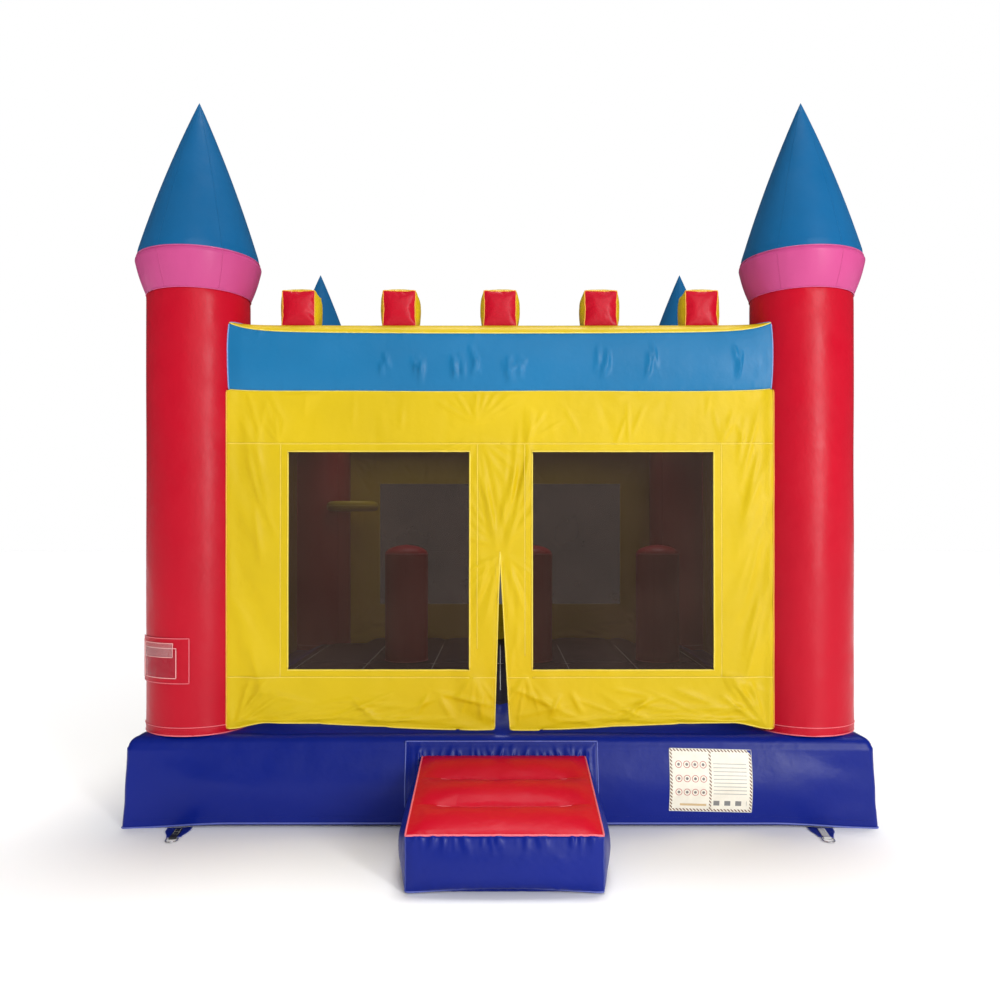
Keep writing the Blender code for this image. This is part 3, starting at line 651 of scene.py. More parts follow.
def base_skirt():
    """The base's sides in one band: ledge, rounded upper edge, swollen faces, hem seam and lower fold."""
    centre, arc, quarter, along = plan_stations()
    to_corner = (1 - np.abs(along)) * BASE_HALF
    round_centre = BASE_TOP - EDGE_ROUND
    rows = [(LEDGE_INNER, 0.03, BASE_TOP + 0.003, -0.08), (1.875, 0.032, BASE_TOP + 0.002, -0.045)]
    for i in range(9):
        angle = math.pi / 2 * (1 - i / 9)
        out = BASE_TOP_HALF - EDGE_ROUND + EDGE_ROUND * math.cos(angle)
        rows.append((out, 0.034, round_centre + EDGE_ROUND * math.sin(angle), 0.012 * i - 0.02))
    face_rows = 32
    for i in range(face_rows + 1):
        z = round_centre * (1 - i / face_rows)
        rows.append((None, 0.034 - 0.014 * i / face_rows, z, 0.09 + (round_centre - z)))
    points = []
    x_face = along * (BASE_HALF - 0.02)
    seam_z = 0.002 + SEAM_LIFT * smooth(to_corner, 0.03, 0.55)
    walk = np.cumsum(np.full(len(along), 4 * 2 * BASE_HALF / len(along)))
    span = (0.0, walk[-1])
    near_corner = np.exp(-to_corner / 0.30)
    for out, corner, z, away in rows:
        height = np.full(len(along), z)
        if out is None:
            share = z / round_centre
            height = seam_z + (round_centre - seam_z) * share
            out = BASE_HALF - LEAN * height + face_bulge(x_face, height, quarter == SIDE_TURNS["back"])
            out = out + 0.012 * np.exp(-to_corner / 0.05) * (1 - share) ** 2
            flare = share
        else:
            flare = smooth(out, 1.875, 1.955)
            out = np.full(len(along), out)
        out = out + CORNER_FLARE * flare * np.exp(-(to_corner / 0.40) ** 2)
        if away > -0.03:
            lines = puckers(walk, max(away, 0.0) * np.ones_like(walk), span, 21, 0.045, (0.05, 0.16),
                            (0.007, 0.013), (0.0015, 0.0045), 0.2)
            strength = 0.12 + 0.88 * near_corner
            out = out + lines * strength
        base = (out - corner)[:, None] * centre + corner * arc
        local = np.column_stack([base, height])
        points.append(quarter_turned(local, quarter))
    seam_row = points[-1]
    for inset, down in ((0.006, 0.35), (0.022, 0.72), (0.045, 0.93), (0.075, 1.0)):
        out = BASE_HALF - inset
        base = (out - 0.03) * centre + 0.03 * arc
        height = seam_z * (1 - down) + 0.001
        points.append(quarter_turned(np.column_stack([base, height]), quarter))
    skirt = Piece("base_skirt_fabric")
    grid = np.stack(points)
    faces = grid_faces(grid.shape[0], grid.shape[1], True)
    flat = grid.reshape(-1, 3)
    middles = flat[faces].mean(1)
    sleeve = sleeve_axis()[0]
    from_sleeve = np.hypot(middles[:, 0] - sleeve[0], middles[:, 2] - sleeve[2])
    keep = ~((middles[:, 1] > 1.8) & (from_sleeve < SLEEVE_HOLE))
    skirt.add(flat, faces[keep].tolist(), NAVY)
    skirt.tube(seam_row + [0, 0, 0.001], 0.0048, NAVY_WELT, closed=True, sides=8)
    outwards = quarter_turned(np.column_stack([arc, np.zeros(len(arc))]), quarter)
    stitch_line = points[-8]
    skirt.stitches(stitch_line[:-14], outwards[:-14], NAVY, 0.014, 0.009)
    skirt.make("structure", ["base_skirt"], "vinyl_navy_blue")


def quarter_turned(local, quarter):
    """Turn each point about Z by its own number of quarter turns."""
    made = np.zeros_like(local)
    for k in range(4):
        made[quarter == k] = turned(local[quarter == k], k)
    return made


def ground_sheet():
    """Underside: flat on the ground, with its edge just inside the skirt's lower fold."""
    half = BASE_HALF - 0.07
    lines = np.linspace(-half, half, 60)
    x, y = np.meshgrid(lines, lines, indexing="ij")
    z = 0.0012 + 0.0008 * waves(np.stack([x, y], -1), 0.5, 5)
    piece = Piece("ground_sheet_fabric").grid(np.stack([x, y, z], -1), NAVY)
    top = np.stack([x, y, z + 0.0015], -1)
    piece.grid(np.swapaxes(top, 0, 1), NAVY)
    obj = piece.make("structure", ["ground_sheet"], "vinyl_navy_blue", outward=False)


def floor_height(x, y):
    """Height of the bouncing floor: a cross-shaped crown, pulled in along its seams."""
    reach, flat = (1.50, 1.84), (1.10, 1.39)

    def fade(value, limits):
        return 1 - smooth(np.abs(value), *limits)

    crown = np.maximum(fade(x, reach) * fade(y, flat), fade(y, reach) * fade(x, flat))
    channel = np.abs((x / FLOOR_CHANNEL + 0.5) % 1.0 - 0.5) * FLOOR_CHANNEL
    dip = 0.020 * np.exp(-(channel / 0.035) ** 1.3)
    cross = 0.016 * np.exp(-(np.abs(y) / 0.035) ** 1.3)
    inside = smooth(crown, 0.2, 0.9)
    low = puckers(y, channel, (-1.8, 1.8), 31, 0.055, (0.04, 0.12), (0.008, 0.014), (0.001, 0.003), 0.2)
    sunk = (np.maximum(dip, cross) - low) * inside
    return BASE_TOP + 0.003 + (FLOOR_TOP - BASE_TOP - 0.004) * crown - sunk


def bounce_floor():
    """The floor people bounce on, with thread along its channels; inside the walls it is coloured near-black,
    a painted shade of the walled-in space.
    """
    lines = np.linspace(-LEDGE_INNER, LEDGE_INNER, 250)
    x, y = np.meshgrid(lines, lines, indexing="ij")
    z = floor_height(x, y) + 0.001 * waves(np.stack([x, y], -1), 0.4, 8)
    edge = np.maximum(np.abs(x), np.abs(y))
    z = np.where(edge > LEDGE_INNER - 1e-6, BASE_TOP + 0.003, z)
    points = np.swapaxes(np.stack([x, y, z], -1), 0, 1)
    faces = grid_faces(*points.shape[:2])
    points = points.reshape(-1, 3)
    # Faces beyond 1.55 m keep the base's navy; the faces inside get the near-black painted shade.
    outside = np.abs(points[faces].mean(1))[:, :2].max(1) > 1.55
    piece = Piece("bounce_floor_fabric")
    piece.add(points, faces[~outside].tolist(), FLOOR_PAINTED_SHADE)
    piece.add(points, faces[outside].tolist(), NAVY)
    # The channel threads use the darkened floor thread: painted shade, like the floor inside the walls.
    for k in range(-3, 4):
        line_y = np.linspace(-1.36, 1.36, 160)
        line_x = np.full_like(line_y, FLOOR_CHANNEL * k)
        path = np.column_stack([line_x, line_y, floor_height(line_x, line_y) + 0.002])
        piece.tube(path, 0.0016, FLOOR_THREAD_PAINTED_SHADE, sides=5)
    obj = piece.make("structure", ["bounce_floor"], "vinyl_navy_blue", outward=False)


# ---------------------------------------------------------------- corner towers

COLUMN_FOOT = BASE_TOP + 0.0005
ROUND_STATIONS = 120
ROUND_ANGLES = np.arange(ROUND_STATIONS) * 2 * math.pi / ROUND_STATIONS
GORES = 6


def turned_grid(radius, height, centre):
    """A grid of points round an upright axis, from grids of their radius and height."""
    x = centre[0] + radius * np.cos(ROUND_ANGLES)
    y = centre[1] + radius * np.sin(ROUND_ANGLES)
    return np.stack([x, y, height], -1)


def ring_path(radius, height, centre):
    """A level circle of points round an upright axis."""
    return turned_grid(radius, np.full(ROUND_STATIONS, height), centre)


def column(corner, cx, cy, seed):
    """A tower's tube: puckered at both ends and along the two walls sewn to it."""
    heights = np.concatenate([
        np.linspace(COLUMN_FOOT, COLUMN_FOOT + 0.09, 12),
        np.linspace(COLUMN_FOOT + 0.105, COLUMN_HIGH.z - 0.10, 120),
        np.linspace(COLUMN_HIGH.z - 0.09, COLUMN_HIGH.z, 10),
    ])
    h, a = np.meshgrid(heights, ROUND_ANGLES, indexing="ij")
    above_foot = h - COLUMN_FOOT
    below_top = COLUMN_HIGH.z - h
    radius = COLUMN_RADIUS + 0.004 * np.exp(-above_foot / 0.05) - 0.006 * np.exp(-above_foot / 0.012)
    radius -= 0.0035 * np.exp(-below_top / 0.015)
    around = a * COLUMN_RADIUS
    length = 2 * math.pi * COLUMN_RADIUS
    radius += puckers(around, above_foot, (0, length), seed, 0.07, (0.04, 0.12), (0.008, 0.014),
                      (0.0008, 0.0026), 0.2, length)
    radius += puckers(around, below_top, (0, length), seed + 1, 0.07, (0.04, 0.10), (0.008, 0.014),
                      (0.0008, 0.0022), 0.2, length)
    for k, wall_angle in enumerate(attachment_angles(cx, cy)):
        beside = np.abs((a - wall_angle + math.pi) % (2 * math.pi) - math.pi) * COLUMN_RADIUS
        radius += 0.9 * puckers(h, beside, (0.5, 2.7), seed + 5 + k, 0.12, (0.04, 0.11), (0.008, 0.013),
                                (0.001, 0.0032), 0.35)
        radius -= 0.003 * np.exp(-(beside / 0.012) ** 2) * (h < 2.7)
    cloud = np.stack([np.cos(a) * 0.3, np.sin(a) * 0.3, h * 0.5], -1)
    radius += 0.0012 * waves(cloud, 0.35, seed + 9)
    piece = Piece(f"column_{corner}_fabric")
    piece.grid(turned_grid(radius, h, (cx, cy)), RED, wrap=True)
    up = np.column_stack([np.cos(ROUND_ANGLES), np.sin(ROUND_ANGLES), np.zeros(ROUND_STATIONS)])
    for wider, lift, bead, sides in ((-0.001, 0.003, 0.0042, 8), (0.0028, 0.046, 0.0026, 6)):
        ring = ring_path(COLUMN_RADIUS + wider, COLUMN_FOOT + lift, (cx, cy))
        piece.tube(ring, bead, RED_WELT, True, sides)
    for lift in (0.014, 0.034):
        piece.stitches(ring_path(COLUMN_RADIUS + 0.0015, COLUMN_FOOT + lift, (cx, cy)), up, RED_THREAD)
    seam_angle = math.atan2(-cy, -cx)
    seam_x = cx + (COLUMN_RADIUS + 0.0008) * math.cos(seam_angle)
    seam_y = cy + (COLUMN_RADIUS + 0.0008) * math.sin(seam_angle)
    weld_line = np.array([(seam_x, seam_y, z) for z in heights[8:-6]])
    out = (math.cos(seam_angle), math.sin(seam_angle), 0.0)
    piece.tube(weld_line, 0.006, RED, sides=6, flat=0.25, up=out)
    piece.stitches(weld_line + np.array(out) * 0.0018, out, RED_THREAD, 0.014, 0.009)
    obj = piece.make("structure", [f"column_{corner}"], "vinyl_red")


def attachment_angles(cx, cy):
    """Angles on a column where its two walls are sewn on."""
    to_wall = math.asin((WALL_PLANE - TOWER_AT) / COLUMN_RADIUS)
    sx, sy = math.copysign(1, cx), math.copysign(1, cy)
    along_x = math.atan2(sy * math.sin(to_wall), -sx * math.cos(to_wall))
    along_y = math.atan2(-sy * math.cos(to_wall), sx * math.sin(to_wall))
    return along_x, along_y


def gored(angles, count, depth, shift=0.0):
    """Scallops between the upright seams of a gored cover: 0 at a seam, depth between two."""
    part = (angles + shift) * count / (2 * math.pi) % 1.0
    return depth * np.sin(np.clip(part, 0, 1) * math.pi) ** 0.7


def gore_seams(piece, grid, count, shift, radius, mat, flat=0.35, rise=0.0, lift=0.0):
    """Flat beads along the upright seams of a gored cover."""
    for k in range(count):
        angle = (k * 2 * math.pi / count - shift) % (2 * math.pi)
        part = round(angle / (2 * math.pi) * ROUND_STATIONS) % ROUND_STATIONS
        out = np.array([math.cos(ROUND_ANGLES[part]), math.sin(ROUND_ANGLES[part]), rise])
        piece.tube(grid[:, part] + out * lift, radius, mat, sides=5, flat=flat, up=out)


def collar(corner, cx, cy, seed):
    """The pink band that widens from the column to the cone's foot."""
    heights = np.linspace(COLLAR_LOW.z, COLLAR_HIGH.z, 26)
    h, a = np.meshgrid(heights, ROUND_ANGLES, indexing="ij")
    share = (h - COLLAR_LOW.z) / (COLLAR_HIGH.z - COLLAR_LOW.z)
    radius = COLUMN_RADIUS - 0.001 + (COLLAR_RADIUS - COLUMN_RADIUS) * share ** 0.92
    radius -= 0.016 * smooth(share, 0.86, 1.0) ** 2
    radius += 0.006 * np.sin(share * math.pi)
    length = 2 * math.pi * COLLAR_RADIUS
    radius += gored(a, GORES, 0.0015, seed) - 0.001
    radius += puckers(a * COLLAR_RADIUS, COLLAR_HIGH.z - h, (0, length), seed, 0.06, (0.03, 0.10),
                      (0.007, 0.012), (0.0008, 0.0024), 0.2, length)
    radius += puckers(a * COLLAR_RADIUS, h - COLLAR_LOW.z, (0, length), seed + 3, 0.06, (0.02, 0.07),
                      (0.007, 0.012), (0.0006, 0.0018), 0.2, length)
    piece = Piece(f"collar_{corner}_fabric")
    grid = turned_grid(radius, h, (cx, cy))
    piece.grid(grid, PINK, wrap=True)
    piece.tube(ring_path(COLUMN_RADIUS + 0.001, COLLAR_LOW.z, (cx, cy)), 0.0030, PINK_WELT, True, 6)
    gore_seams(piece, grid[1:-1], GORES, seed, 0.0022, PINK, lift=0.0004)
    obj = piece.make("structure", [f"collar_{corner}"], "vinyl_pink")


def cone(corner, cx, cy, seed):
    """A tower's pointed roof, slightly swollen, with a small rounded tip."""
    share = np.concatenate([np.linspace(0, 0.06, 8), np.linspace(0.08, 0.97, 60), np.linspace(0.978, 1.0, 7)])
    s, a = np.meshgrid(share, ROUND_ANGLES, indexing="ij")
    low = COLLAR_RADIUS - 0.016
    h = CONE_LOW.z + (CONE_HIGH.z - CONE_LOW.z) * s
    radius = low * (1 - s) + 0.018 * np.sin(math.pi * s) ** 0.8 + 0.004 * (1 - s) * smooth(s, 0.0, 0.05)
    tip = 0.010 * np.sqrt(np.clip((1 - s) / 0.022, 0, 1)) + 1e-4
    radius = np.where(s > 0.978, np.minimum(radius, tip), radius)
    radius += (gored(a, GORES, 0.0018, seed) - 0.0012) * (1 - s) * smooth(s, 0.0, 0.1)
    length = 2 * math.pi * COLLAR_RADIUS
    radius += puckers(a * COLLAR_RADIUS, h - CONE_LOW.z, (0, length), seed + 7, 0.07, (0.03, 0.12),
                      (0.008, 0.013), (0.0006, 0.0020), 0.2, length) * (1 - s)
    piece = Piece(f"cone_{corner}_fabric")
    grid = turned_grid(radius, h, (cx, cy))
    # The cone takes the darkened sky-blue vinyl, a painted shade.
    piece.grid(grid, CONE_SKY_PAINTED_SHADE, wrap=True)
    piece.tube(ring_path(low + 0.001, CONE_LOW.z, (cx, cy)), 0.0032, PINK_WELT, True, 6)
    gore_seams(piece, grid[2:-8], GORES, seed, 0.0020, CONE_SKY_PAINTED_SHADE, flat=0.30, rise=0.35)
    obj = piece.make("structure", [f"cone_{corner}"], "vinyl_sky_blue")


def towers():
    """A column, its collar and its cone at each corner."""
    for number, (corner, (sx, sy)) in enumerate(CORNERS.items(), 1):
        place = (corner, sx * TOWER_AT, sy * TOWER_AT, 100 + 37 * number)
        column(*place)
        collar(*place)
        cone(*place)


# ---------------------------------------------------------------- wall beams

BEAM_BULGE = 0.019
BEAM_STATIONS = 260
BAND_ROWS, TOP_ROWS, INNER_ROWS, UNDER_ROWS = 34, 34, 30, 26
BEAM_CROWN = BEAM_HIGH.z - 0.0005
BEAM_UNDERSIDE = 2.3375


def beam_top_seam(x):
    """Height of the seam between a beam's band and its top, x metres along it."""
    from_end = BEAM_HALF - np.abs(x)
    return 2.661 + 0.012 * (x / BEAM_HALF) ** 2 + 0.045 * np.exp(-np.clip(from_end, 0, None) / 0.10)


def beam_bottom_seam(x):
    """Height of the seam between a beam's band and the wall below it."""
    from_end = BEAM_HALF - np.abs(x)
    return 2.3395 + 0.012 * np.exp(-np.clip(from_end, 0, None) / 0.12) + 0.0015 * np.sin(x * 5.0)


def beam_end(out):
    """How far a beam reaches along its wall to the tower, at a distance out from the middle."""
    clear = COLUMN_RADIUS + 0.001
    return TOWER_AT - np.sqrt(np.clip(clear ** 2 - (np.asarray(out) - TOWER_AT) ** 2, 0.0, None))


def front_creases():
    """Groups of upright folds in the front band, where the seams gather it."""
    random = np.random.default_rng(77)
    marks = []
    for centre, count, spread, low, high in (
            (-0.44, 5, 0.022, 2.43, 2.50), (-0.22, 4, 0.03, 2.44, 2.50), (-0.14, 3, 0.02, 2.45, 2.53),
            (0.05, 5, 0.03, 2.42, 2.50), (0.11, 3, 0.02, 2.44, 2.50), (-0.62, 2, 0.03, 2.45, 2.52),
            (0.56, 4, 0.04, 2.43, 2.54), (0.80, 3, 0.05, 2.44, 2.56), (1.25, 3, 0.05, 2.42, 2.58)):
        for _ in range(count):
            marks.append((centre + random.uniform(-spread, spread), random.uniform(low, high),
                          90 + random.uniform(-16, 16), random.uniform(0.10, 0.20),
                          random.uniform(0.005, 0.010), random.uniform(0.007, 0.014)))
    return marks


def beam(side, seed, marks):
    """One wall's beam, row by row round it: outer band, domed top, inner face and underside."""
    t = np.linspace(-1, 1, BEAM_STATIONS)
    t = np.sin(t * math.pi / 2) * 0.35 + t * 0.65
    rough_x = t * BEAM_HALF
    top_seam = beam_top_seam(rough_x)
    low_seam = beam_bottom_seam(rough_x)
    rows = []

    def add(out, height):
        rows.append(np.stack([t * beam_end(out), -out, height], -1))

    ends = smooth(1 - np.abs(t), 0.0, 0.06)
    span = (-1.5, 1.5)
    for i in range(BAND_ROWS + 1):
        v = i / BAND_ROWS
        height = low_seam + (top_seam - low_seam) * v
        swell = math.sin(math.pi * v) ** 0.75
        out = WALL_PLANE - 0.001 + BEAM_BULGE * swell * (0.55 + 0.45 * ends)
        out = out + creases(rough_x, height, marks) * min(1.0, 3 * v, 3 * (1 - v))
        for number, away in enumerate((top_seam - height, height - low_seam)):
            out = out + puckers(rough_x, away, span, seed + number, 0.05, (0.02, 0.09), (0.006, 0.011),
                                (0.0006, 0.0026), 0.25)
        out = out + 0.0016 * waves(np.stack([rough_x, height], -1), 0.30, seed + 2) * swell
        add(out, height)
    crown_from = WALL_PLANE - 0.001
    inner_top = BEAM_CROWN - 0.045
    for i in range(1, TOP_ROWS + 1):
        w = i / TOP_ROWS
        out = np.full_like(t, crown_from - w * (crown_from - BEAM_INNER - 0.004))
        straight = top_seam + (inner_top - top_seam) * w
        dome = (BEAM_CROWN - straight) * (1 - (2 * w - 1) ** 2) ** 0.55
        height = straight + np.clip(dome, 0, None)
        from_edge = np.full_like(t, min(w, 1 - w) * 0.37)
        height = height - 0.6 * puckers(rough_x, from_edge, span, seed + 3, 0.055, (0.03, 0.12),
                                        (0.007, 0.012), (0.0008, 0.0030), 0.25)
        add(out, height)
    for i in range(1, INNER_ROWS + 1):
        w = i / INNER_ROWS
        height = np.full_like(t, inner_top - w * (inner_top - BEAM_LOW.z - 0.012))
        out = BEAM_INNER + 0.004 - 0.014 * math.sin(math.pi * w) ** 0.8
        out = out - 0.001 * waves(np.stack([rough_x, height], -1), 0.3, seed + 4)
        add(out + np.zeros_like(t), height)
    for i in range(1, UNDER_ROWS):
        w = i / UNDER_ROWS
        out = np.full_like(t, BEAM_INNER + 0.004 + w * (crown_from - BEAM_INNER - 0.004))
        start = BEAM_LOW.z + 0.012
        height = start + (low_seam - start) * w - 0.010 * math.sin(math.pi * w)
        add(out, np.maximum(height, BEAM_UNDERSIDE))
    grid = turned(np.stack(rows), SIDE_TURNS[side])
    grid = np.swapaxes(grid, 0, 1)
    stations, around = grid.shape[:2]
    faces = grid_faces(stations, around, True)
    column_of = np.tile(np.arange(around), stations - 1)
    top_faces = (column_of >= BAND_ROWS) & (column_of < BAND_ROWS + TOP_ROWS)
    flat = grid.reshape(-1, 3)
    piece = Piece(f"beam_{side}_fabric")
    piece.add(flat, faces[~top_faces].tolist(), SKY)
    piece.add(flat, faces[top_faces].tolist(), YELLOW)
    for row, bead, lift in ((BAND_ROWS, 0.0036, 0), (BAND_ROWS + TOP_ROWS, 0.0034, 0), (0, 0.0030, 0.002)):
        piece.tube(grid[:, row] + [0, 0, lift], bead, YELLOW_WELT, sides=6)
    outward = outward_from(side)
    for row in (BAND_ROWS - 1, 1):
        piece.stitches(grid[:, row] + outward * 0.001, outward, SKY_THREAD)
    for end in (0, -1):
        piece.tube(grid[end, :BAND_ROWS + TOP_ROWS + 1], 0.0040, SKY_WELT, sides=6)
    obj = piece.make("structure", [f"beam_{side}"], "vinyl_sky_blue")


def beams():
    """The front beam has all the folds; the others take some of them, milder."""
    marks = front_creases()
    beam("front", 200, marks)
    mild = [(*mark[:4], 1.5 * mark[4], 0.35 * mark[5]) for mark in marks]
    beam("right", 230, mild[::2])
    beam("back", 260, mild[1::2])
    beam("left", 290, mild[::3])


# ---------------------------------------------------------------- inflated boxes (cloth runs)


def patch(corners, counts):
    """A flat grid between four corners, given in order round it."""
    a, b, c, d = (np.array(corner, float) for corner in corners)
    u = np.linspace(0, 1, counts[0])[:, None, None]
    v = np.linspace(0, 1, counts[1])[None, :, None]
    return ((a * (1 - u) + b * u) * (1 - v) + (d * (1 - u) + c * u) * v).reshape(-1, 3)


BOX_SIDES = {
    "front": ((0, 0, 0), (1, 0, 0), (1, 0, 1), (0, 0, 1)),
    "back": ((1, 1, 0), (0, 1, 0), (0, 1, 1), (1, 1, 1)),
    "left": ((0, 1, 0), (0, 0, 0), (0, 0, 1), (0, 1, 1)),
    "right": ((1, 0, 0), (1, 1, 0), (1, 1, 1), (1, 0, 1)),
    "top": ((0, 0, 1), (1, 0, 1), (1, 1, 1), (0, 1, 1)),
    "under": ((0, 1, 0), (1, 1, 0), (1, 0, 0), (0, 0, 0)),
}
SIDE_MARK = {name: mark for mark, name in enumerate(BOX_SIDES)}


def closed_box(corner_of, counts):
    """A welded six-sided mesh; corner_of maps (0 or 1 per axis) to a point, and marks name the sides."""
    points, faces, marks, offset = [], [], [], 0
    for index, keys in enumerate(BOX_SIDES.values()):
        across = counts[0 if keys[0][0] != keys[1][0] else 1]
        upwards = counts[1 if keys[0][2] == keys[3][2] else 2]
        grid = patch([corner_of[key] for key in keys], (across, upwards))
        quads = grid_faces(across, upwards)
        points.append(grid)
        faces.append(quads + offset)
        marks.append(np.full(len(quads), index))
        offset += len(grid)
    welded, number = weld(np.concatenate(points))
    joined = number[np.concatenate(faces)]
    if box_inside_out(welded, joined):
        joined = joined[:, ::-1]
    return welded, joined, np.concatenate(marks)


def box_inside_out(points, faces):
    """Whether a closed mesh's faces look inwards."""
    middle = points.mean(0)
    centres = points[faces].mean(1) - middle
    cross = np.cross(points[faces[:, 2]] - points[faces[:, 0]], points[faces[:, 3]] - points[faces[:, 1]])
    return float((cross * centres).sum()) < 0


def on_line(points, start, end, tolerance=1e-4):
    """Indices of the points that lie between two ends of a straight line, in order along it."""
    start, end = np.array(start, float), np.array(end, float)
    along = end - start
    reach = np.linalg.norm(along)
    t = (points - start) @ along / reach
    off = np.linalg.norm(points - start - t[:, None] * along / reach, axis=1)
    found = np.nonzero((off < tolerance) & (t > -tolerance) & (t < reach + tolerance))[0]
    return found[np.argsort(t[found])]


def edge_path(points, corner_of, *keys):
    """Indices of the points along a box's edges, from corner to corner."""
    path = []
    for a, b in zip(keys, keys[1:]):
        found = on_line(points, corner_of[a], corner_of[b]).tolist()
        path += found[:-1]
    return path + found[-1:]


def box_rim(points, corner_of, level):
    """Indices of the points round a box's foot (level 0) or top (level 1)."""
    keys = ((0, 0, level), (1, 0, level), (1, 1, level), (0, 1, level), (0, 0, level))
    return edge_path(points, corner_of, *keys)[:-1]


MERLON_NODES = [f"merlon_{k}" for k in range(1, 6)]


def start_merlons():
    """Each merlon is blown up from a slightly smaller box, sewn to the beam round its foot."""
    started = {}
    for k, node in enumerate(MERLON_NODES):
        low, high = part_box(node)
        keys = [(a, b, c) for a in (0, 1) for b in (0, 1) for c in (0, 1)]
        ends = ((low.x + 0.001, high.x - 0.001), (low.y + 0.003, high.y - 0.004), (low.z, high.z - 0.003))
        corner_of = {key: tuple(ends[axis][key[axis]] for axis in range(3)) for key in keys}
        for key in keys:
            if key[2] == 0:
                corner_of[key] = (*corner_of[key][:2], low.z - (0.012 if key[1] else 0.018))
        points, faces, marks = closed_box(corner_of, (17, 16, 17))
        pinned = points[:, 2] < low.z - 0.010
        random = np.random.default_rng(400 + k)
        start = points + random.normal(size=points.shape) * 0.0007 * (~pinned)[:, None]
        middle = points.mean(0)
        flat = middle + (points - middle) * 1.02
        cloth = Cloth(node, start, faces, pinned, flat, pressure=4.0, bending=0.3)
        started[node] = (cloth, points, faces, marks, corner_of)
    return started


def merlons(started):
    """The blown-up merlons, red in front and behind, with welts along their sewn edges."""
    for node, (cloth, coarse, faces, marks, corner_of) in started.items():
        points, fine, fine_marks = refined(cloth.settled(0.026), faces, marks)
        piece = Piece(f"{node}_fabric")
        red = np.isin(fine_marks, [SIDE_MARK["front"], SIDE_MARK["back"]])
        piece.add(points, fine[red].tolist(), RED)
        piece.add(points, fine[~red].tolist(), YELLOW)
        for y in (0, 1):
            seam = edge_path(coarse, corner_of, (0, y, 0), (0, y, 1), (1, y, 1), (1, y, 0))
            piece.tube(points[seam], 0.0034, ORANGE_WELT, sides=6)
        foot = points[box_rim(coarse, corner_of, 0)]
        piece.tube(foot + [0, 0, 0.003], 0.0026, YELLOW_WELT, closed=True, sides=6)
        obj = piece.make("structure", [node], "vinyl_red")


STEP_LOW, STEP_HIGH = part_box("step_body")
TREAD_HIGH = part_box("step_tread")[1]
STEP_FRONT_TOP = 0.256


def start_step():
    """The step is blown up from its sewn box: its seams are held, two baffle lines pull the tread in."""
    back_low, back_high = STEP_HIGH.y - 0.012, TREAD_HIGH.y
    half = (STEP_HIGH.x - STEP_LOW.x) / 2 - 0.004
    middle = (STEP_HIGH.x + STEP_LOW.x) / 2
    corner_of = {}
    for a in (0, 1):
        x = middle + (2 * a - 1) * half
        corner_of[(a, 0, 0)] = (x, STEP_LOW.y + 0.006, 0.004)
        corner_of[(a, 0, 1)] = (x, STEP_LOW.y + 0.004, STEP_FRONT_TOP)
        corner_of[(a, 1, 0)] = (x, back_low - 0.012, 0.004)
        corner_of[(a, 1, 1)] = (x, back_high - 0.004, TREAD_HIGH.z - 0.004)
    points, faces, marks = closed_box(corner_of, (60, 58, 21))
    share_y = (points[:, 1] - STEP_LOW.y) / (back_high - STEP_LOW.y)
    across = (points[:, 0] - middle) / half
    start, flat = points.copy(), points.copy()

    def held(a, b):
        return on_line(points, corner_of[a], corner_of[b])

    hem = held((0, 0, 0), (1, 0, 0))
    front_top = held((0, 0, 1), (1, 0, 1))
    pinned = points[:, 1] > back_low - 0.03
    pinned |= (points[:, 2] < 0.0045) & (share_y > 0.16) & (np.abs(across) < 0.74)
    for line in (hem, front_top, held((0, 0, 1), (0, 1, 1)), held((1, 0, 1), (1, 1, 1))):
        pinned[line] = True
    curve = (1 - across[hem] ** 2) ** 1.5
    start[hem, 2] += 0.020 * curve
    start[hem, 1] += 0.030 * curve
    start[front_top, 1] += 0.004 * (1 - across[front_top] ** 2)
    for a in (0, 1):
        start[held((a, 0, 0), (a, 1, 0)), 2] = 0.004
    top = np.zeros(len(points), bool)
    top[np.unique(faces[marks == SIDE_MARK["top"]])] = True
    lines = []
    for share in (1 / 3, 2 / 3):
        rows = np.unique(np.round(share_y[top], 4))
        row = rows[np.argmin(np.abs(rows - share))]
        line = top & (np.abs(share_y - row) < 1e-3) & (np.abs(across) < 0.76)
        start[line, 2] -= 0.020 * (1 - (np.abs(across[line]) / 0.78) ** 4)
        pinned |= line
        lines.append(np.nonzero(line)[0][np.argsort(points[line, 0])])
    random = np.random.default_rng(3)
    start += random.normal(size=start.shape) * 0.0008 * (~pinned)[:, None]
    flat[:, 0] = middle + (points[:, 0] - middle) * 1.045
    flat[:, 1] = back_high + (points[:, 1] - back_high) * 1.035
    flat[:, 2] *= 1.14
    cloth = Cloth("step", start, faces, pinned, flat, pressure=9.0, bending=0.2)
    return cloth, points, faces, marks, corner_of, lines


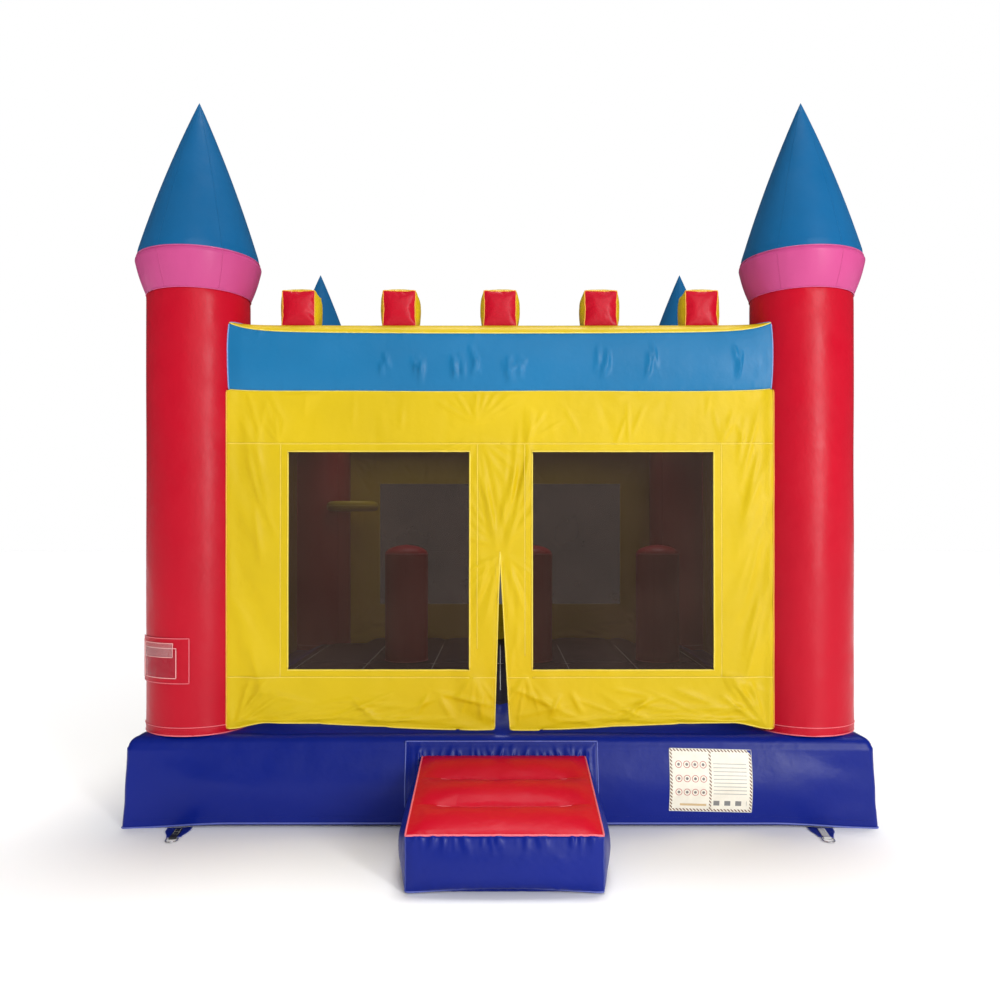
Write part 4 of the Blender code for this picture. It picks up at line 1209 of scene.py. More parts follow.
def step_swell(points, top):
    """Fill the blown-up step out: full sides and front, and three pillows across the tread."""
    middle, half = (STEP_HIGH.x + STEP_LOW.x) / 2, (STEP_HIGH.x - STEP_LOW.x) / 2
    across = (points[:, 0] - middle) / half
    back = np.clip((points[:, 1] - STEP_LOW.y) / (TREAD_HIGH.y - STEP_LOW.y), 0, 1)
    height = np.clip(points[:, 2] / (STEP_FRONT_TOP + (TREAD_HIGH.z - STEP_FRONT_TOP) * back), 0, 1)
    on_top = np.zeros(len(points), bool)
    on_top[top] = True
    belly = np.sin(math.pi * height) ** 0.8
    side = ~on_top & (np.abs(across) > 0.955)
    points[:, 0] += np.where(side, np.sign(across) * 0.030 * belly * smooth(back, 0.0, 0.3), 0.0)
    front = ~on_top & (back < 0.05)
    points[:, 1] -= np.where(front, 0.016 * belly * np.clip(1 - across ** 4, 0, 1), 0.0)
    pillow = np.abs(np.sin(3 * math.pi * back)) ** 0.7 * np.clip(1 - across ** 6, 0, 1) ** 0.6
    ends = smooth(1 - np.abs(across), 0.0, 0.2) * smooth(back, 0.0, 0.04) * smooth(1 - back, 0.0, 0.04)
    points[:, 2] += np.where(on_top, 0.013 * pillow * ends, 0.0)


def step(started):
    """The blown-up step as two pieces, its red tread and its blue body, gathered along their seams."""
    cloth, coarse, faces, marks, corner_of, lines = started
    moved = cloth.points - cloth.start
    limits = np.array([[-0.040, -0.040, -0.012], [0.040, 0.020, 0.036]])
    settled = cloth.start + np.where(moved < 0, limits[0] * np.tanh(moved / limits[0]),
                                     limits[1] * np.tanh(moved / limits[1]))
    settled[:, 2] = np.maximum(settled[:, 2], 0.0012)
    points, fine, fine_marks = refined(settled, faces, marks)
    is_top = fine_marks == SIDE_MARK["top"]
    step_swell(points, np.unique(fine[is_top]))
    normals = vertex_normals(points, fine)
    span = (STEP_LOW.x + 0.03, STEP_HIGH.x - 0.03)
    on_front = (points[:, 1] < STEP_LOW.y + 0.02) & (points[:, 2] > 0.06)
    below = np.clip(STEP_FRONT_TOP + 0.006 - points[:, 2], 0, None)
    gather = puckers(points[:, 0], below, span, 44, 0.017, (0.05, 0.11), (0.0045, 0.008),
                     (0.0030, 0.0075), 0.18)
    points += normals * (gather * on_front * smooth(below, 0.004, 0.014))[:, None]
    low = np.clip(points[:, 2] - 0.012, 0, None)
    tuck = puckers(points[:, 0], low, span, 45, 0.05, (0.03, 0.07), (0.006, 0.012), (0.001, 0.003), 0.3)
    tuck = tuck * (points[:, 1] < STEP_LOW.y + 0.05) * smooth(low, 0.004, 0.014) * ~on_front
    points += normals * tuck[:, None]
    for line in lines:
        seam_y = float(points[line, 1].mean())
        near = np.abs(points[:, 1] - seam_y)
        pull = puckers(points[:, 0], near, (span[0] + 0.08, span[1] - 0.08), 46 + int(seam_y * 10), 0.035,
                       (0.02, 0.05), (0.004, 0.008), (0.0008, 0.0022), 0.5)
        points += normals * (pull * smooth(near, 0.002, 0.010) * (points[:, 2] > 0.2))[:, None]
    points[:, 2] = np.maximum(points[:, 2], 0.0010)
    tread = Piece("step_tread_fabric")
    tread.add(points, fine[is_top].tolist(), TREAD_RED)
    for line in lines:
        path = points[line] + normals[line] * 0.0005
        tread.tube(path, 0.0024, RED_WELT, sides=5)
        tread.stitches(path + normals[line] * 0.0015, normals[line], RED_THREAD)
    outline = box_rim(coarse, corner_of, 1)
    tread.tube(points[outline] + normals[outline] * 0.001, 0.0046, RED_WELT, closed=True, sides=8)
    obj = tread.make("structure", ["step_tread"], "vinyl_red")
    body = Piece("step_body_fabric")
    body.add(points, fine[~is_top].tolist(), NAVY)
    hem = edge_path(coarse, corner_of, (0, 1, 0), (0, 0, 0), (1, 0, 0), (1, 1, 0))
    body.tube(points[hem] + [0, 0, 0.003], 0.0050, NAVY_WELT, sides=8)
    for a in (0, 1):
        upright = on_line(coarse, corner_of[(a, 0, 0)], corner_of[(a, 0, 1)])
        body.tube(points[upright], 0.0032, NAVY_THREAD, sides=6)
    obj = body.make("structure", ["step_body"], "vinyl_navy_blue")


def step_apron():
    """Patch that sews the step to the base: gathered above the step, with a pale binding round it."""
    low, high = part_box("step_apron")
    centre, half = 0.008, 0.512
    low.x, high.x = centre - half, centre + half
    x = np.linspace(low.x, high.x, 150)
    z = np.linspace(low.z, high.z, 56)
    xs, zs = np.meshgrid(x, z, indexing="ij")
    edge = np.minimum(np.minimum(xs - low.x, high.x - xs), high.z - zs)
    gather = puckers(xs, np.clip(zs - TREAD_HIGH.z + 0.01, 0, None), (low.x + 0.05, high.x - 0.05), 51, 0.022,
                     (0.045, 0.085), (0.004, 0.008), (0.004, 0.011), 0.35)
    sides = 0.0
    for seed, beside in ((52, STEP_LOW.x - xs), (53, xs - STEP_HIGH.x)):
        sides = sides + puckers(zs, np.clip(beside, 0, None), (low.z, high.z), seed, 0.04, (0.03, 0.05),
                                (0.006, 0.01), (0.001, 0.004), 0.3) * (beside > 0)
    swell = 0.010 * smooth(edge, 0.0, 0.04)
    lift = 0.0030 + (gather + sides + swell) * smooth(edge, 0.0, 0.012)
    points = face_point("front", xs, zs, lift)
    piece = Piece("step_apron_fabric").grid(points, NAVY)
    loop = np.concatenate([points[0], points[1:, -1], points[-1, ::-1][1:]])
    piece.tube(loop, 0.0034, NAVY_WELT, sides=6)
    inset = face_point("front", xs, zs, lift + 0.0008)
    stitch = np.concatenate([inset[3], inset[3:-3, -4], inset[-4, ::-1]])
    piece.stitches(stitch, (0, -1, 0), NAVY_THREAD)
    piece.make("structure", ["step_apron"], "vinyl_navy_blue", outward=False)


# ---------------------------------------------------------------- wall sheets (cloth runs)

SHEET_PITCH = 0.019
SHEET_THICK = 0.0022
BORDER = 0.041
SLIT_TOP = 1.476
SLIT_HALF_GAP = 0.041
FOLD_OUT = 0.225
SLIT_SHIFT = 0.012
FOLD_STRENGTH = 1.45
WINDOW_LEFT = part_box("window_net_left")
WINDOW_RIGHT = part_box("window_net_right")
WALL_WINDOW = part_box("wall_net_back")


def lines_through(stops, pitch=SHEET_PITCH):
    """Even steps between given stops, which all become lines of the grid."""
    made = [stops[0]]
    for low, high in zip(stops, stops[1:]):
        count = max(1, round((high - low) / pitch))
        made.extend(low + (high - low) * i / count for i in range(1, count + 1))
    return np.array(made)


def front_hem(x):
    """Height of the front sheet's lower edge: low at the towers and the slit, higher between."""
    reach = np.abs(x)
    return 0.497 + 0.041 * smooth(reach, 0.10, 1.22) - 0.034 * smooth(reach, 1.26, 1.476)


def slit_part(z):
    """How far down the slit a height is: 0 at its top or above, 1 at the panel's foot."""
    return np.clip((SLIT_TOP - z) / (SLIT_TOP - PANEL_LOW.z), 0, None)


def slit_half(z):
    """Half the slit's width at a height."""
    return SLIT_HALF_GAP * slit_part(z)


def front_half(z_lines, sign, near, far):
    """Points, faces, net faces and upright grid lines of the front sheet on one side of the slit."""
    low_w, high_w = WINDOW_LEFT[0].z, WINDOW_LEFT[1].z
    inner = near - BORDER
    lines = lines_through([0.0, inner, near, far, far + BORDER, SHEET_END])
    grid = np.zeros((len(z_lines), len(lines), 3))
    for i, z in enumerate(z_lines):
        gap = float(slit_half(z))
        x = np.where(lines < inner, gap + lines * (inner - gap) / inner, lines)
        grid[i, :, 0] = sign * x + SLIT_SHIFT * slit_part(z) * np.clip(1 - lines / inner, 0, 1)
        grid[i, :, 2] = z
    lower = z_lines < low_w - BORDER - 1e-6
    share = (z_lines[lower] - PANEL_LOW.z) / (low_w - BORDER - PANEL_LOW.z)
    hem = front_hem(grid[0, :, 0])
    grid[lower, :, 2] = hem[None] + (low_w - BORDER - hem[None]) * share[:, None]
    top = beam_bottom_seam(grid[-1, :, 0]) - 0.001
    upper = z_lines > high_w + BORDER + 1e-6
    share = (z_lines[upper] - high_w - BORDER) / (PANEL_HIGH.z - high_w - BORDER)
    grid[upper, :, 2] = high_w + BORDER + (top[None] - high_w - BORDER) * share[:, None]
    faces = grid_faces(*grid.shape[:2])
    if sign < 0:
        faces = faces[:, ::-1]
    return grid, faces, between_lines(z_lines, low_w, high_w, lines, near, far), lines


def between_lines(rows, low, high, cols, near, far):
    """Which faces of a grid lie inside an opening in it."""
    row_mid = (rows[1:] + rows[:-1]) / 2
    col_mid = (cols[1:] + cols[:-1]) / 2
    inside = ((row_mid > low) & (row_mid < high))[:, None] & ((col_mid > near) & (col_mid < far))[None]
    return inside.reshape(-1)


def start_front():
    """One sheet with the slit in it and the nets sewn in, pinned to the beam and the towers."""
    low_w, high_w = WINDOW_LEFT[0].z, WINDOW_LEFT[1].z
    stops = (PANEL_LOW.z, low_w - BORDER, low_w, SLIT_TOP, high_w, high_w + BORDER, PANEL_HIGH.z)
    z_lines = lines_through([z - PANEL_LOW.z for z in stops]) + PANEL_LOW.z
    windows = [sorted((abs(low.x), abs(high.x))) for low, high in (WINDOW_LEFT, WINDOW_RIGHT)]
    halves = [front_half(z_lines, sign, *window) for sign, window in zip((-1, 1), windows)]
    grids, quads, openings, lines = zip(*halves)
    count = grids[0].shape[0] * grids[0].shape[1]
    marks = np.concatenate([np.where(openings[0], 1, 0), np.where(openings[1], 2, 0)])
    welded, number = weld(np.concatenate([grid.reshape(-1, 3) for grid in grids]))
    faces = number[np.concatenate([quads[0], quads[1] + count])]
    index = [number[:count].reshape(grids[0].shape[:2]), number[count:].reshape(grids[1].shape[:2])]
    pinned = np.zeros(len(welded), bool)
    hem_x = np.abs(welded[:, 0])
    for half in index:
        pinned[half[-1]] = True
        pinned[half[:, -1]] = True
        row = half[0]
        for place in (0.0, 0.225, 0.62, 0.98, 1.26):
            pinned[row[np.argmin(np.abs(hem_x[row] - max(place, hem_x[row].min())))]] = True
    random = np.random.default_rng(6)
    start = welded.copy()
    start[:, 1] = -WALL_PLANE - 0.013 * smooth(np.abs(welded[:, 0]), PANEL_END - 0.05, SHEET_END)
    out = 0.004 * waves(welded[:, [0, 2]], 0.42, 61) + 0.003 * waves(welded[:, [0, 2]], 0.22, 62) - 0.003
    start[:, 1] += np.where(pinned, 0.0, out + random.normal(size=len(out)) * 0.0006)
    flat = welded.copy()
    flat[:, 1] = -WALL_PLANE
    reach, shut = np.abs(flat[:, 0]), 0.134
    closing = 0.5 * np.sign(flat[:, 0]) * slit_half(flat[:, 2]) * (shut - reach) / shut
    flat[:, 0] -= np.where(reach < 0.13, closing, 0.0)
    flat[:, 0] *= 1.014
    flat[:, 2] = PANEL_HIGH.z + (flat[:, 2] - PANEL_HIGH.z) * 1.010
    cloth = Cloth("front_wall", start, faces, pinned, flat, bending=0.15, gravity=0.4)
    return cloth, faces, marks, index, lines, windows, z_lines


def shell_arrays(points, normals, faces, thick):
    """Two skins and a rim from one surface: points, faces, and the normal of every face corner."""
    faces = [list(map(int, face)) for face in faces]
    used = sorted({i for face in faces for i in face})
    local = {old: new for new, old in enumerate(used)}
    count = len(used)
    skin, up = points[used], normals[used]
    both = np.concatenate([skin + up * thick / 2, skin - up * thick / 2])
    outer = [[local[i] for i in face] for face in faces]
    made = list(outer)
    corner_normals = [up[i] for face in outer for i in face]
    for face in outer:
        made.append([i + count for i in reversed(face)])
        corner_normals.extend(-up[i] for i in reversed(face))
    uses = {}
    for face in outer:
        for a, b in zip(face, face[1:] + face[:1]):
            uses[(a, b)] = uses.get((a, b), 0) + 1
    for (a, b) in list(uses):
        if (b, a) not in uses:
            made.append([b, a, a + count, b + count])
            corner_normals.extend([np.zeros(3)] * 4)
    return both, made, corner_normals


def set_corner_normals(obj, corner_normals):
    """Fix the shading of the first face corners; the rest keep their own."""
    mesh = obj.data
    wanted = [tuple(map(float, normal)) for normal in corner_normals]
    wanted += [(0.0, 0.0, 0.0)] * (len(mesh.loops) - len(wanted))
    mesh.normals_split_custom_set(wanted)


def sheet_piece(name, points, normals, faces, mat, extras, node, slot, body="structure", thick=SHEET_THICK):
    """A thin closed sheet with its bindings; extras(piece) adds them."""
    both, made, corner_normals = shell_arrays(points, normals, faces, thick)
    piece = Piece(name)
    piece.add(both, made, mat)
    extras(piece)
    obj = piece.make(body, [node], slot, merge=0)
    set_corner_normals(obj, corner_normals)
    return obj


def net_piece(name, points, faces, node):
    """A net sewn into an opening: its share of the sheet's own grid."""
    used = np.unique(faces)
    local = np.full(len(points), -1)
    local[used] = np.arange(len(used))
    mat = WALL_NET if node.startswith("wall") else NET
    piece = Piece(name).add(points[used], local[faces].tolist(), mat)
    obj = piece.make("structure", [node], "net_black", merge=0)
    return obj


def fold_x(z):
    """Half-width at a height of the part of the front that folds with the flaps."""
    return FOLD_OUT * slit_part(z)


def fan(x, z, first, last, count, reach, width, height, random):
    """Folds that run out from one gathered point, between two directions in degrees."""
    marks = []
    for k in range(count):
        turn = first + (last - first) * (k + random.uniform(0.2, 0.8)) / count
        far = reach * random.uniform(0.55, 1.15)
        cx = x + math.cos(math.radians(turn)) * far * 0.52
        cz = z + math.sin(math.radians(turn)) * far * 0.52
        marks.append((cx, cz, turn, far, width * random.uniform(0.6, 1.4), height * random.uniform(0.5, 1.3)))
    return marks


def scattered(random, count, x, z, turn, turns, length, width, height, side=1, lean=1):
    """Folds at random places; all but the counts and the middle turn are ranges."""
    marks = []
    for _ in range(count):
        marks.append((side * random.uniform(*x), random.uniform(*z), turn + lean * random.uniform(*turns),
                      random.uniform(*length), random.uniform(*width), random.uniform(*height)))
    return marks


def sheet_folds():
    """The front sheet's folds: fans at gathered places, hem folds, and long slack folds between them."""
    random = np.random.default_rng(19)
    marks = []
    marks += fan(-0.129, 2.16, 20, 160, 9, 0.26, 0.010, 0.0050, random)
    marks += fan(-0.129, 2.10, 195, 350, 9, 0.34, 0.012, 0.0050, random)
    marks += fan(0.01, SLIT_TOP + 0.01, 35, 165, 12, 0.50, 0.014, 0.0065, random)
    marks += fan(0.01, SLIT_TOP - 0.02, 200, 255, 5, 0.30, 0.010, 0.0045, random)
    marks += fan(0.03, SLIT_TOP - 0.02, 285, 340, 5, 0.30, 0.010, 0.0045, random)
    marks += fan(0.134, 2.06, 20, 100, 5, 0.24, 0.012, 0.0040, random)
    for side in (-1, 1):
        marks += fan(side * 1.46, 0.52, 90 - side * 85, 90 + side * -5, 7, 0.42, 0.014, 0.0060, random)
        marks += fan(side * 1.21, 0.80, 90 + side * -150, 90 + side * -95, 5, 0.26, 0.012, 0.0045, random)
        marks += fan(side * 1.21, 2.05, 90 - side * 40, 90 + side * 20, 4, 0.24, 0.012, 0.0040, random)
        marks += fan(side * 0.14, 0.80, 225, 315, 6, 0.28, 0.012, 0.0050, random)
        marks += scattered(random, 9, (1.26, 1.42), (0.75, 2.25), 90, (4, 24),
                           (0.25, 0.55), (0.012, 0.022), (0.003, 0.0055), side, -side)
        marks += scattered(random, 14, (0.10, 1.35), (0.57, 0.70), 0, (-32, 22),
                           (0.20, 0.50), (0.009, 0.018), (0.003, 0.0070), side, side)
        marks += scattered(random, 7, (0.15, 1.40), (2.10, 2.30), 90, (-30, 30),
                           (0.12, 0.26), (0.008, 0.016), (0.002, 0.0040), side)
        marks += scattered(random, 10, (0.30, 1.40), (0.532, 0.556), 0, (-6, 6),
                           (0.20, 0.42), (0.005, 0.009), (0.003, 0.0065), side)
    marks += scattered(random, 10, (-0.11, 0.12), (0.60, 1.40), 90, (-28, 28),
                       (0.14, 0.32), (0.008, 0.014), (0.002, 0.0045))
    for low, high in (WINDOW_LEFT, WINDOW_RIGHT):
        marks += scattered(random, 12, (low.x + 0.15, high.x - 0.15), (0.95, 1.90), 90, (-60, 60),
                           (0.20, 0.55), (0.015, 0.030), (0.002, 0.0045))
    for side in (-1, 1):
        for x, z, degrees, length, width, height in (
                (1.357, 0.647, 55, 0.38, 0.017, 0.0100), (1.320, 0.600, 36, 0.32, 0.015, 0.0090),
                (1.398, 0.660, 72, 0.30, 0.014, 0.0070), (1.080, 0.556, 3, 0.66, 0.013, 0.0090),
                (0.620, 0.562, -4, 0.40, 0.013, 0.0070), (0.740, 0.610, -38, 0.24, 0.015, 0.0100),
                (0.420, 0.640, 62, 0.16, 0.014, 0.0070), (0.300, 0.625, 118, 0.16, 0.014, 0.0070)):
            marks.append((side * x, z, degrees if side < 0 else 180 - degrees, length, width, height))
    for x, z in ((-0.13, 2.10), (0.13, 2.10), (0.16, 2.28), (-0.14, 1.02), (0.15, 0.98)):
        drop, step_x = SLIT_TOP - z, 0.01 - x
        run = math.atan2(drop, step_x)
        length = math.hypot(drop, step_x)
        for k in range(4):
            beside = 0.030 * (k - 1.5) + random.uniform(-0.008, 0.008)
            share = random.uniform(0.42, 0.62)
            place = (x + step_x * share - beside * math.sin(run), z + drop * share + beside * math.cos(run))
            raised = 1 if k % 2 else -0.6
            marks.append((*place, math.degrees(run) + random.uniform(-7, 7),
                          length * random.uniform(0.6, 0.95), random.uniform(0.012, 0.020),
                          random.uniform(0.004, 0.008) * raised))
    return [(*mark[:5], mark[5] * FOLD_STRENGTH) for mark in marks]


def front_wall(started):
    """The settled front sheet, cut along the flaps' fold lines and shared out among its pieces."""
    cloth, faces, marks, index, lines, windows, z_lines = started
    settled = cloth.settled(0.060)
    settled[:, 1] = np.clip(settled[:, 1], -WALL_PLANE - 0.05, -WALL_PLANE + 0.03)
    points, fine, fine_marks = refined(settled, faces, marks)
    edge = smooth(SHEET_END - np.abs(points[:, 0]), 0.0, 0.03)
    edge = edge * smooth(PANEL_HIGH.z - points[:, 2], 0.0, 0.03)
    points[:, 1] -= edge * creases(points[:, 0], points[:, 2], sheet_folds())
    bm = bmesh.new()
    mark = bm.faces.layers.int.new("mark")
    verts = [bm.verts.new(point) for point in points]
    for face, value in zip(fine, fine_marks):
        bm.faces.new([verts[i] for i in face])[mark] = int(value)
    bm.verts.index_update()
    for sign in (-1, 1):
        bm.faces.ensure_lookup_table()
        near = [face for face in bm.faces if face[mark] == 0
                and 0 < sign * face.calc_center_median().x < 0.27 and face.calc_center_median().z < SLIT_TOP]
        geometry = {item for face in near for item in (face, *face.edges, *face.verts)}
        run = FOLD_OUT / (SLIT_TOP - PANEL_LOW.z)
        bmesh.ops.bisect_plane(bm, geom=list(geometry), dist=2e-5, plane_co=(0, 0, SLIT_TOP),
                               plane_no=(sign, 0, run))
    bm.normal_update()
    bm.verts.index_update()
    made = np.array([v.co for v in bm.verts])
    normals = np.array([v.normal for v in bm.verts])
    flipped = normals[:, 1].mean() > 0
    if flipped:
        normals = -normals
    groups = {"panel": [], "left": [], "right": [], "net_left": [], "net_right": []}
    for face in bm.faces:
        loop = [v.index for v in face.verts]
        if flipped:
            loop.reverse()
        centre = face.calc_center_median()
        if face[mark] == 1:
            groups["net_left"].append(loop)
        elif face[mark] == 2:
            groups["net_right"].append(loop)
        elif centre.z < SLIT_TOP and abs(centre.x) < fold_x(centre.z) - 1e-6:
            groups["left" if centre.x < 0 else "right"].append(loop)
        else:
            groups["panel"].append(loop)
    bm.free()
    front_bindings(made, normals, groups, index, lines, windows, z_lines)


def line_at(values, wanted):
    """Number of the grid line nearest a place."""
    return int(np.argmin(np.abs(np.asarray(values) - wanted)))


def seam_lines(lines, low, high):
    """Grid lines of an opening's first seam, its two edges and its second seam."""
    return [line_at(lines, value) for value in (low - BORDER, low, high, high + BORDER)]


def opening_ring(index, low, high, near, far):
    """Points round an opening between two rows and two columns of a grid."""
    return np.concatenate([index[low, near:far], index[low:high, far],
                           index[high, far:near:-1], index[high:low:-1, near]])


def flat_seam(piece, path, radius, up):
    """The flattened bead of a lapped seam on a wall sheet."""
    piece.tube(path, radius, YELLOW_WELT, sides=5, flat=0.5, up=up)


def cut_path(path, keep):
    """The stretches of a path whose points pass a test."""
    stretches, current = [], []
    for point, wanted in zip(path, keep):
        if wanted:
            current.append(point)
        elif current:
            stretches.append(current)
            current = []
    if current:
        stretches.append(current)
    return [np.array(stretch) for stretch in stretches if len(stretch) > 2]


def front_bindings(points, normals, groups, index, lines, windows, z_lines):
    """The front's panel, flaps and nets, each with the welts, seams and stitches that lie on it."""
    low_w, high_w = WINDOW_LEFT[0].z, WINDOW_LEFT[1].z
    seam_low, low, high, seam_high = seam_lines(z_lines, low_w, high_w)
    slit_row = line_at(z_lines, SLIT_TOP)
    outward = (0, -1, 0)

    def raised(ids, lift):
        return points[ids] + normals[ids] * lift

    def in_flap(ids):
        at = points[ids]
        return (at[:, 2] < SLIT_TOP) & (np.abs(at[:, 0]) < fold_x(at[:, 2]))

    def panel_extras(piece):
        for half, own_lines, (near_x, far_x) in zip(index, lines, windows):
            seam_near, near, far, seam_far = seam_lines(own_lines, near_x, far_x)
            ring = opening_ring(half, low, high, near, far)
            piece.tube(raised(ring, 0.0012), 0.0046, YELLOW_WELT, closed=True, sides=8)
            upright = slice(seam_low, seam_high + 1)
            for ids, lift, radius, beside in ((half[seam_low], 0.0016, 0.0030, [0, -0.0012, 0.006]),
                                              (half[seam_high], 0.0016, 0.0030, [0, -0.0012, 0.006]),
                                              (half[upright, seam_near], 0.0014, 0.0026, [0.005, -0.0012, 0]),
                                              (half[upright, seam_far], 0.0014, 0.0026, [0.005, -0.0012, 0])):
                for path in cut_path(raised(ids, lift), ~in_flap(ids)):
                    flat_seam(piece, path, radius, outward)
                    piece.stitches(path + beside, outward, YELLOW_THREAD)
            piece.tube(raised(half[:, -1], 0.002), 0.0042, ORANGE_WELT, sides=6)
            for path in cut_path(raised(half[0], 0.001), ~in_flap(half[0])):
                piece.tube(path, 0.0042, YELLOW_WELT, sides=6)

    panel = sheet_piece("front_panel_fabric", points, normals, groups["panel"], YELLOW, panel_extras,
                        "front_panel", "vinyl_yellow")
    for side, sign, half, (near, far) in zip(("left", "right"), (-1, 1), index, windows):

        def flap_extras(piece, half=half):
            piece.tube(raised(half[:slit_row + 1, 0], 0.0012), 0.0040, YELLOW_WELT, sides=6)
            piece.stitches(raised(half[:slit_row - 2, 1], 0.0018), outward, YELLOW_THREAD)
            for path in cut_path(raised(half[0], 0.001), in_flap(half[0])):
                piece.tube(path, 0.0042, YELLOW_WELT, sides=6)
            for path in cut_path(raised(half[seam_low], 0.0016), in_flap(half[seam_low])):
                flat_seam(piece, path, 0.0030, outward)

        flap = sheet_piece(f"entrance_flap_{side}_fabric", points, normals, groups[side], YELLOW, flap_extras,
                           f"entrance_flap_{side}", "vinyl_yellow", body=None)
        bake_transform(flap)
        net_piece(f"window_net_{side}_mesh", points, np.array(groups[f"net_{side}"]), f"window_net_{side}")


def start_wall():
    """The back wall with its net; the side walls are turned, mirrored copies with folds of their own."""
    low_w, high_w, reach = WALL_WINDOW[0].z, WALL_WINDOW[1].z, WALL_WINDOW[1].x
    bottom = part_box("wall_panel_back")[0].z
    x_lines = lines_through([-PANEL_END, -reach - BORDER, -reach, reach, reach + BORDER, PANEL_END], 0.027)
    z_lines = lines_through([bottom, low_w - BORDER, low_w, high_w, high_w + BORDER, PANEL_HIGH.z], 0.027)
    x, z = np.meshgrid(x_lines, z_lines, indexing="ij")
    z = z + (beam_bottom_seam(x) - 0.001 - PANEL_HIGH.z) * smooth(z, high_w + BORDER, PANEL_HIGH.z)
    grid = np.stack([x, np.full_like(x, -WALL_PLANE), z], -1)
    faces = grid_faces(*x.shape)
    marks = between_lines(x_lines, -reach, reach, z_lines, low_w, high_w).astype(int)
    points = grid.reshape(-1, 3)
    index = np.arange(len(points)).reshape(x.shape)
    pinned = np.zeros(len(points), bool)
    pinned[index[0]] = pinned[index[-1]] = True
    pinned[index[:, 0]] = pinned[index[:, -1]] = True
    random = np.random.default_rng(9)
    start = points.copy()
    start[:, 1] += np.where(pinned, 0.0, 0.004 * waves(points[:, [0, 2]], 0.4, 63)
                            + random.normal(size=len(points)) * 0.0008)
    flat = points.copy()
    flat[:, 0] *= 1.012
    flat[:, 2] = PANEL_HIGH.z + (flat[:, 2] - PANEL_HIGH.z) * 1.012
    cloth = Cloth("side_wall", start, faces, pinned, flat, bending=0.15, gravity=0.4)
    return cloth, faces, marks, index, x_lines, z_lines


def wall_folds(seed):
    """A side wall's folds: fans at its corners, upright ones beside the net, slack ones along the hem."""
    random = np.random.default_rng(seed)
    low, high = WALL_WINDOW
    marks = []
    for side, first, last in ((-1, 5, 85), (1, 95, 175)):
        marks += fan(side * 1.44, 0.55, first, last, 6, 0.40, 0.018, 0.0070, random)
        marks += fan(side * 1.44, 2.30, -last, -first, 6, 0.36, 0.018, 0.0060, random)
        marks += fan(side * high.x, low.z - 0.03, first - 180, last - 180, 4, 0.28, 0.016, 0.0050, random)
        marks += scattered(random, 6, (1.24, 1.40), (0.9, 2.1), 90, (-13, 13),
                           (0.30, 0.60), (0.015, 0.024), (0.003, 0.006), side)
    marks += scattered(random, 15, (-1.3, 1.3), (0.58, low.z - 0.06), 0, (-20, 20),
                       (0.25, 0.60), (0.014, 0.024), (0.004, 0.009))
    marks += scattered(random, 10, (-1.3, 1.3), (high.z + 0.06, 2.30), 90, (-38, 38),
                       (0.12, 0.28), (0.012, 0.020), (0.003, 0.006))
    marks += scattered(random, 10, (-1.0, 1.0), (low.z + 0.1, high.z - 0.1), 90, (-60, 60),
                       (0.30, 0.60), (0.025, 0.040), (0.003, 0.006))
    return marks


def side_walls(started):
    """The right, back and left walls with their nets, all from the one settled sheet."""
    cloth, faces, marks, index, x_lines, z_lines = started
    low_w, high_w, reach = WALL_WINDOW[0].z, WALL_WINDOW[1].z, WALL_WINDOW[1].x
    points, fine, fine_marks = refined(cloth.settled(0.045), faces, marks)
    seam_low, low, high, seam_high = seam_lines(z_lines, low_w, high_w)
    seam_left, left, right, seam_right = seam_lines(x_lines, -reach, reach)
    ring = opening_ring(index.T, low, high, left, right)
    bottom = z_lines[0]
    for side in ("right", "back", "left"):
        local, quads = points.copy(), fine.copy()
        if side != "back":
            local[:, 0] *= -1
            quads = quads[:, ::-1]
        if side == "left":
            local[:, 1] = -WALL_PLANE - (local[:, 1] + WALL_PLANE) * 0.8
        edge = smooth(PANEL_END - np.abs(local[:, 0]), 0.0, 0.04)
        edge = edge * smooth(PANEL_HIGH.z - local[:, 2], 0.0, 0.03)
        edge = edge * smooth(local[:, 2] - bottom, 0.0, 0.02)
        local[:, 1] -= edge * creases(local[:, 0], local[:, 2], wall_folds(500 + SIDE_TURNS[side]))
        placed = turned(local, SIDE_TURNS[side])
        normals = vertex_normals(placed, quads)
        outward = outward_from(side)
        if float((normals @ outward).mean()) < 0:
            normals, quads = -normals, quads[:, ::-1]
        panel_faces, net_faces = quads[fine_marks == 0], quads[fine_marks == 1]

        def extras(piece, placed=placed, normals=normals, outward=outward):
            piece.tube(placed[ring] + normals[ring] * 0.001, 0.0046, YELLOW_WELT, closed=True, sides=8)
            for row in (seam_low, seam_high):
                path = placed[index[:, row]] + outward * 0.0016
                flat_seam(piece, path, 0.0030, outward)
                piece.stitches(path + outward * 0.0012 + [0, 0, 0.006], outward, YELLOW_THREAD)
            for col in (seam_left, seam_right):
                path = placed[index[col, seam_low:seam_high + 1]] + outward * 0.0014
                flat_seam(piece, path, 0.0026, outward)
            for end in (0, -1):
                piece.tube(placed[index[end]] + outward * 0.002, 0.0042, ORANGE_WELT, sides=6)
            hem = placed[index[:, 0]] + outward * 0.002 + [0, 0, 0.002]
            piece.tube(hem, 0.0042, YELLOW_WELT, sides=6)

        obj = sheet_piece(f"wall_panel_{side}_fabric", placed, normals, panel_faces, YELLOW, extras,
                          f"wall_panel_{side}", "vinyl_yellow")
        net_piece(f"wall_net_{side}_mesh", placed, net_faces, f"wall_net_{side}")


# ---------------------------------------------------------------- inside: pillars and hoop


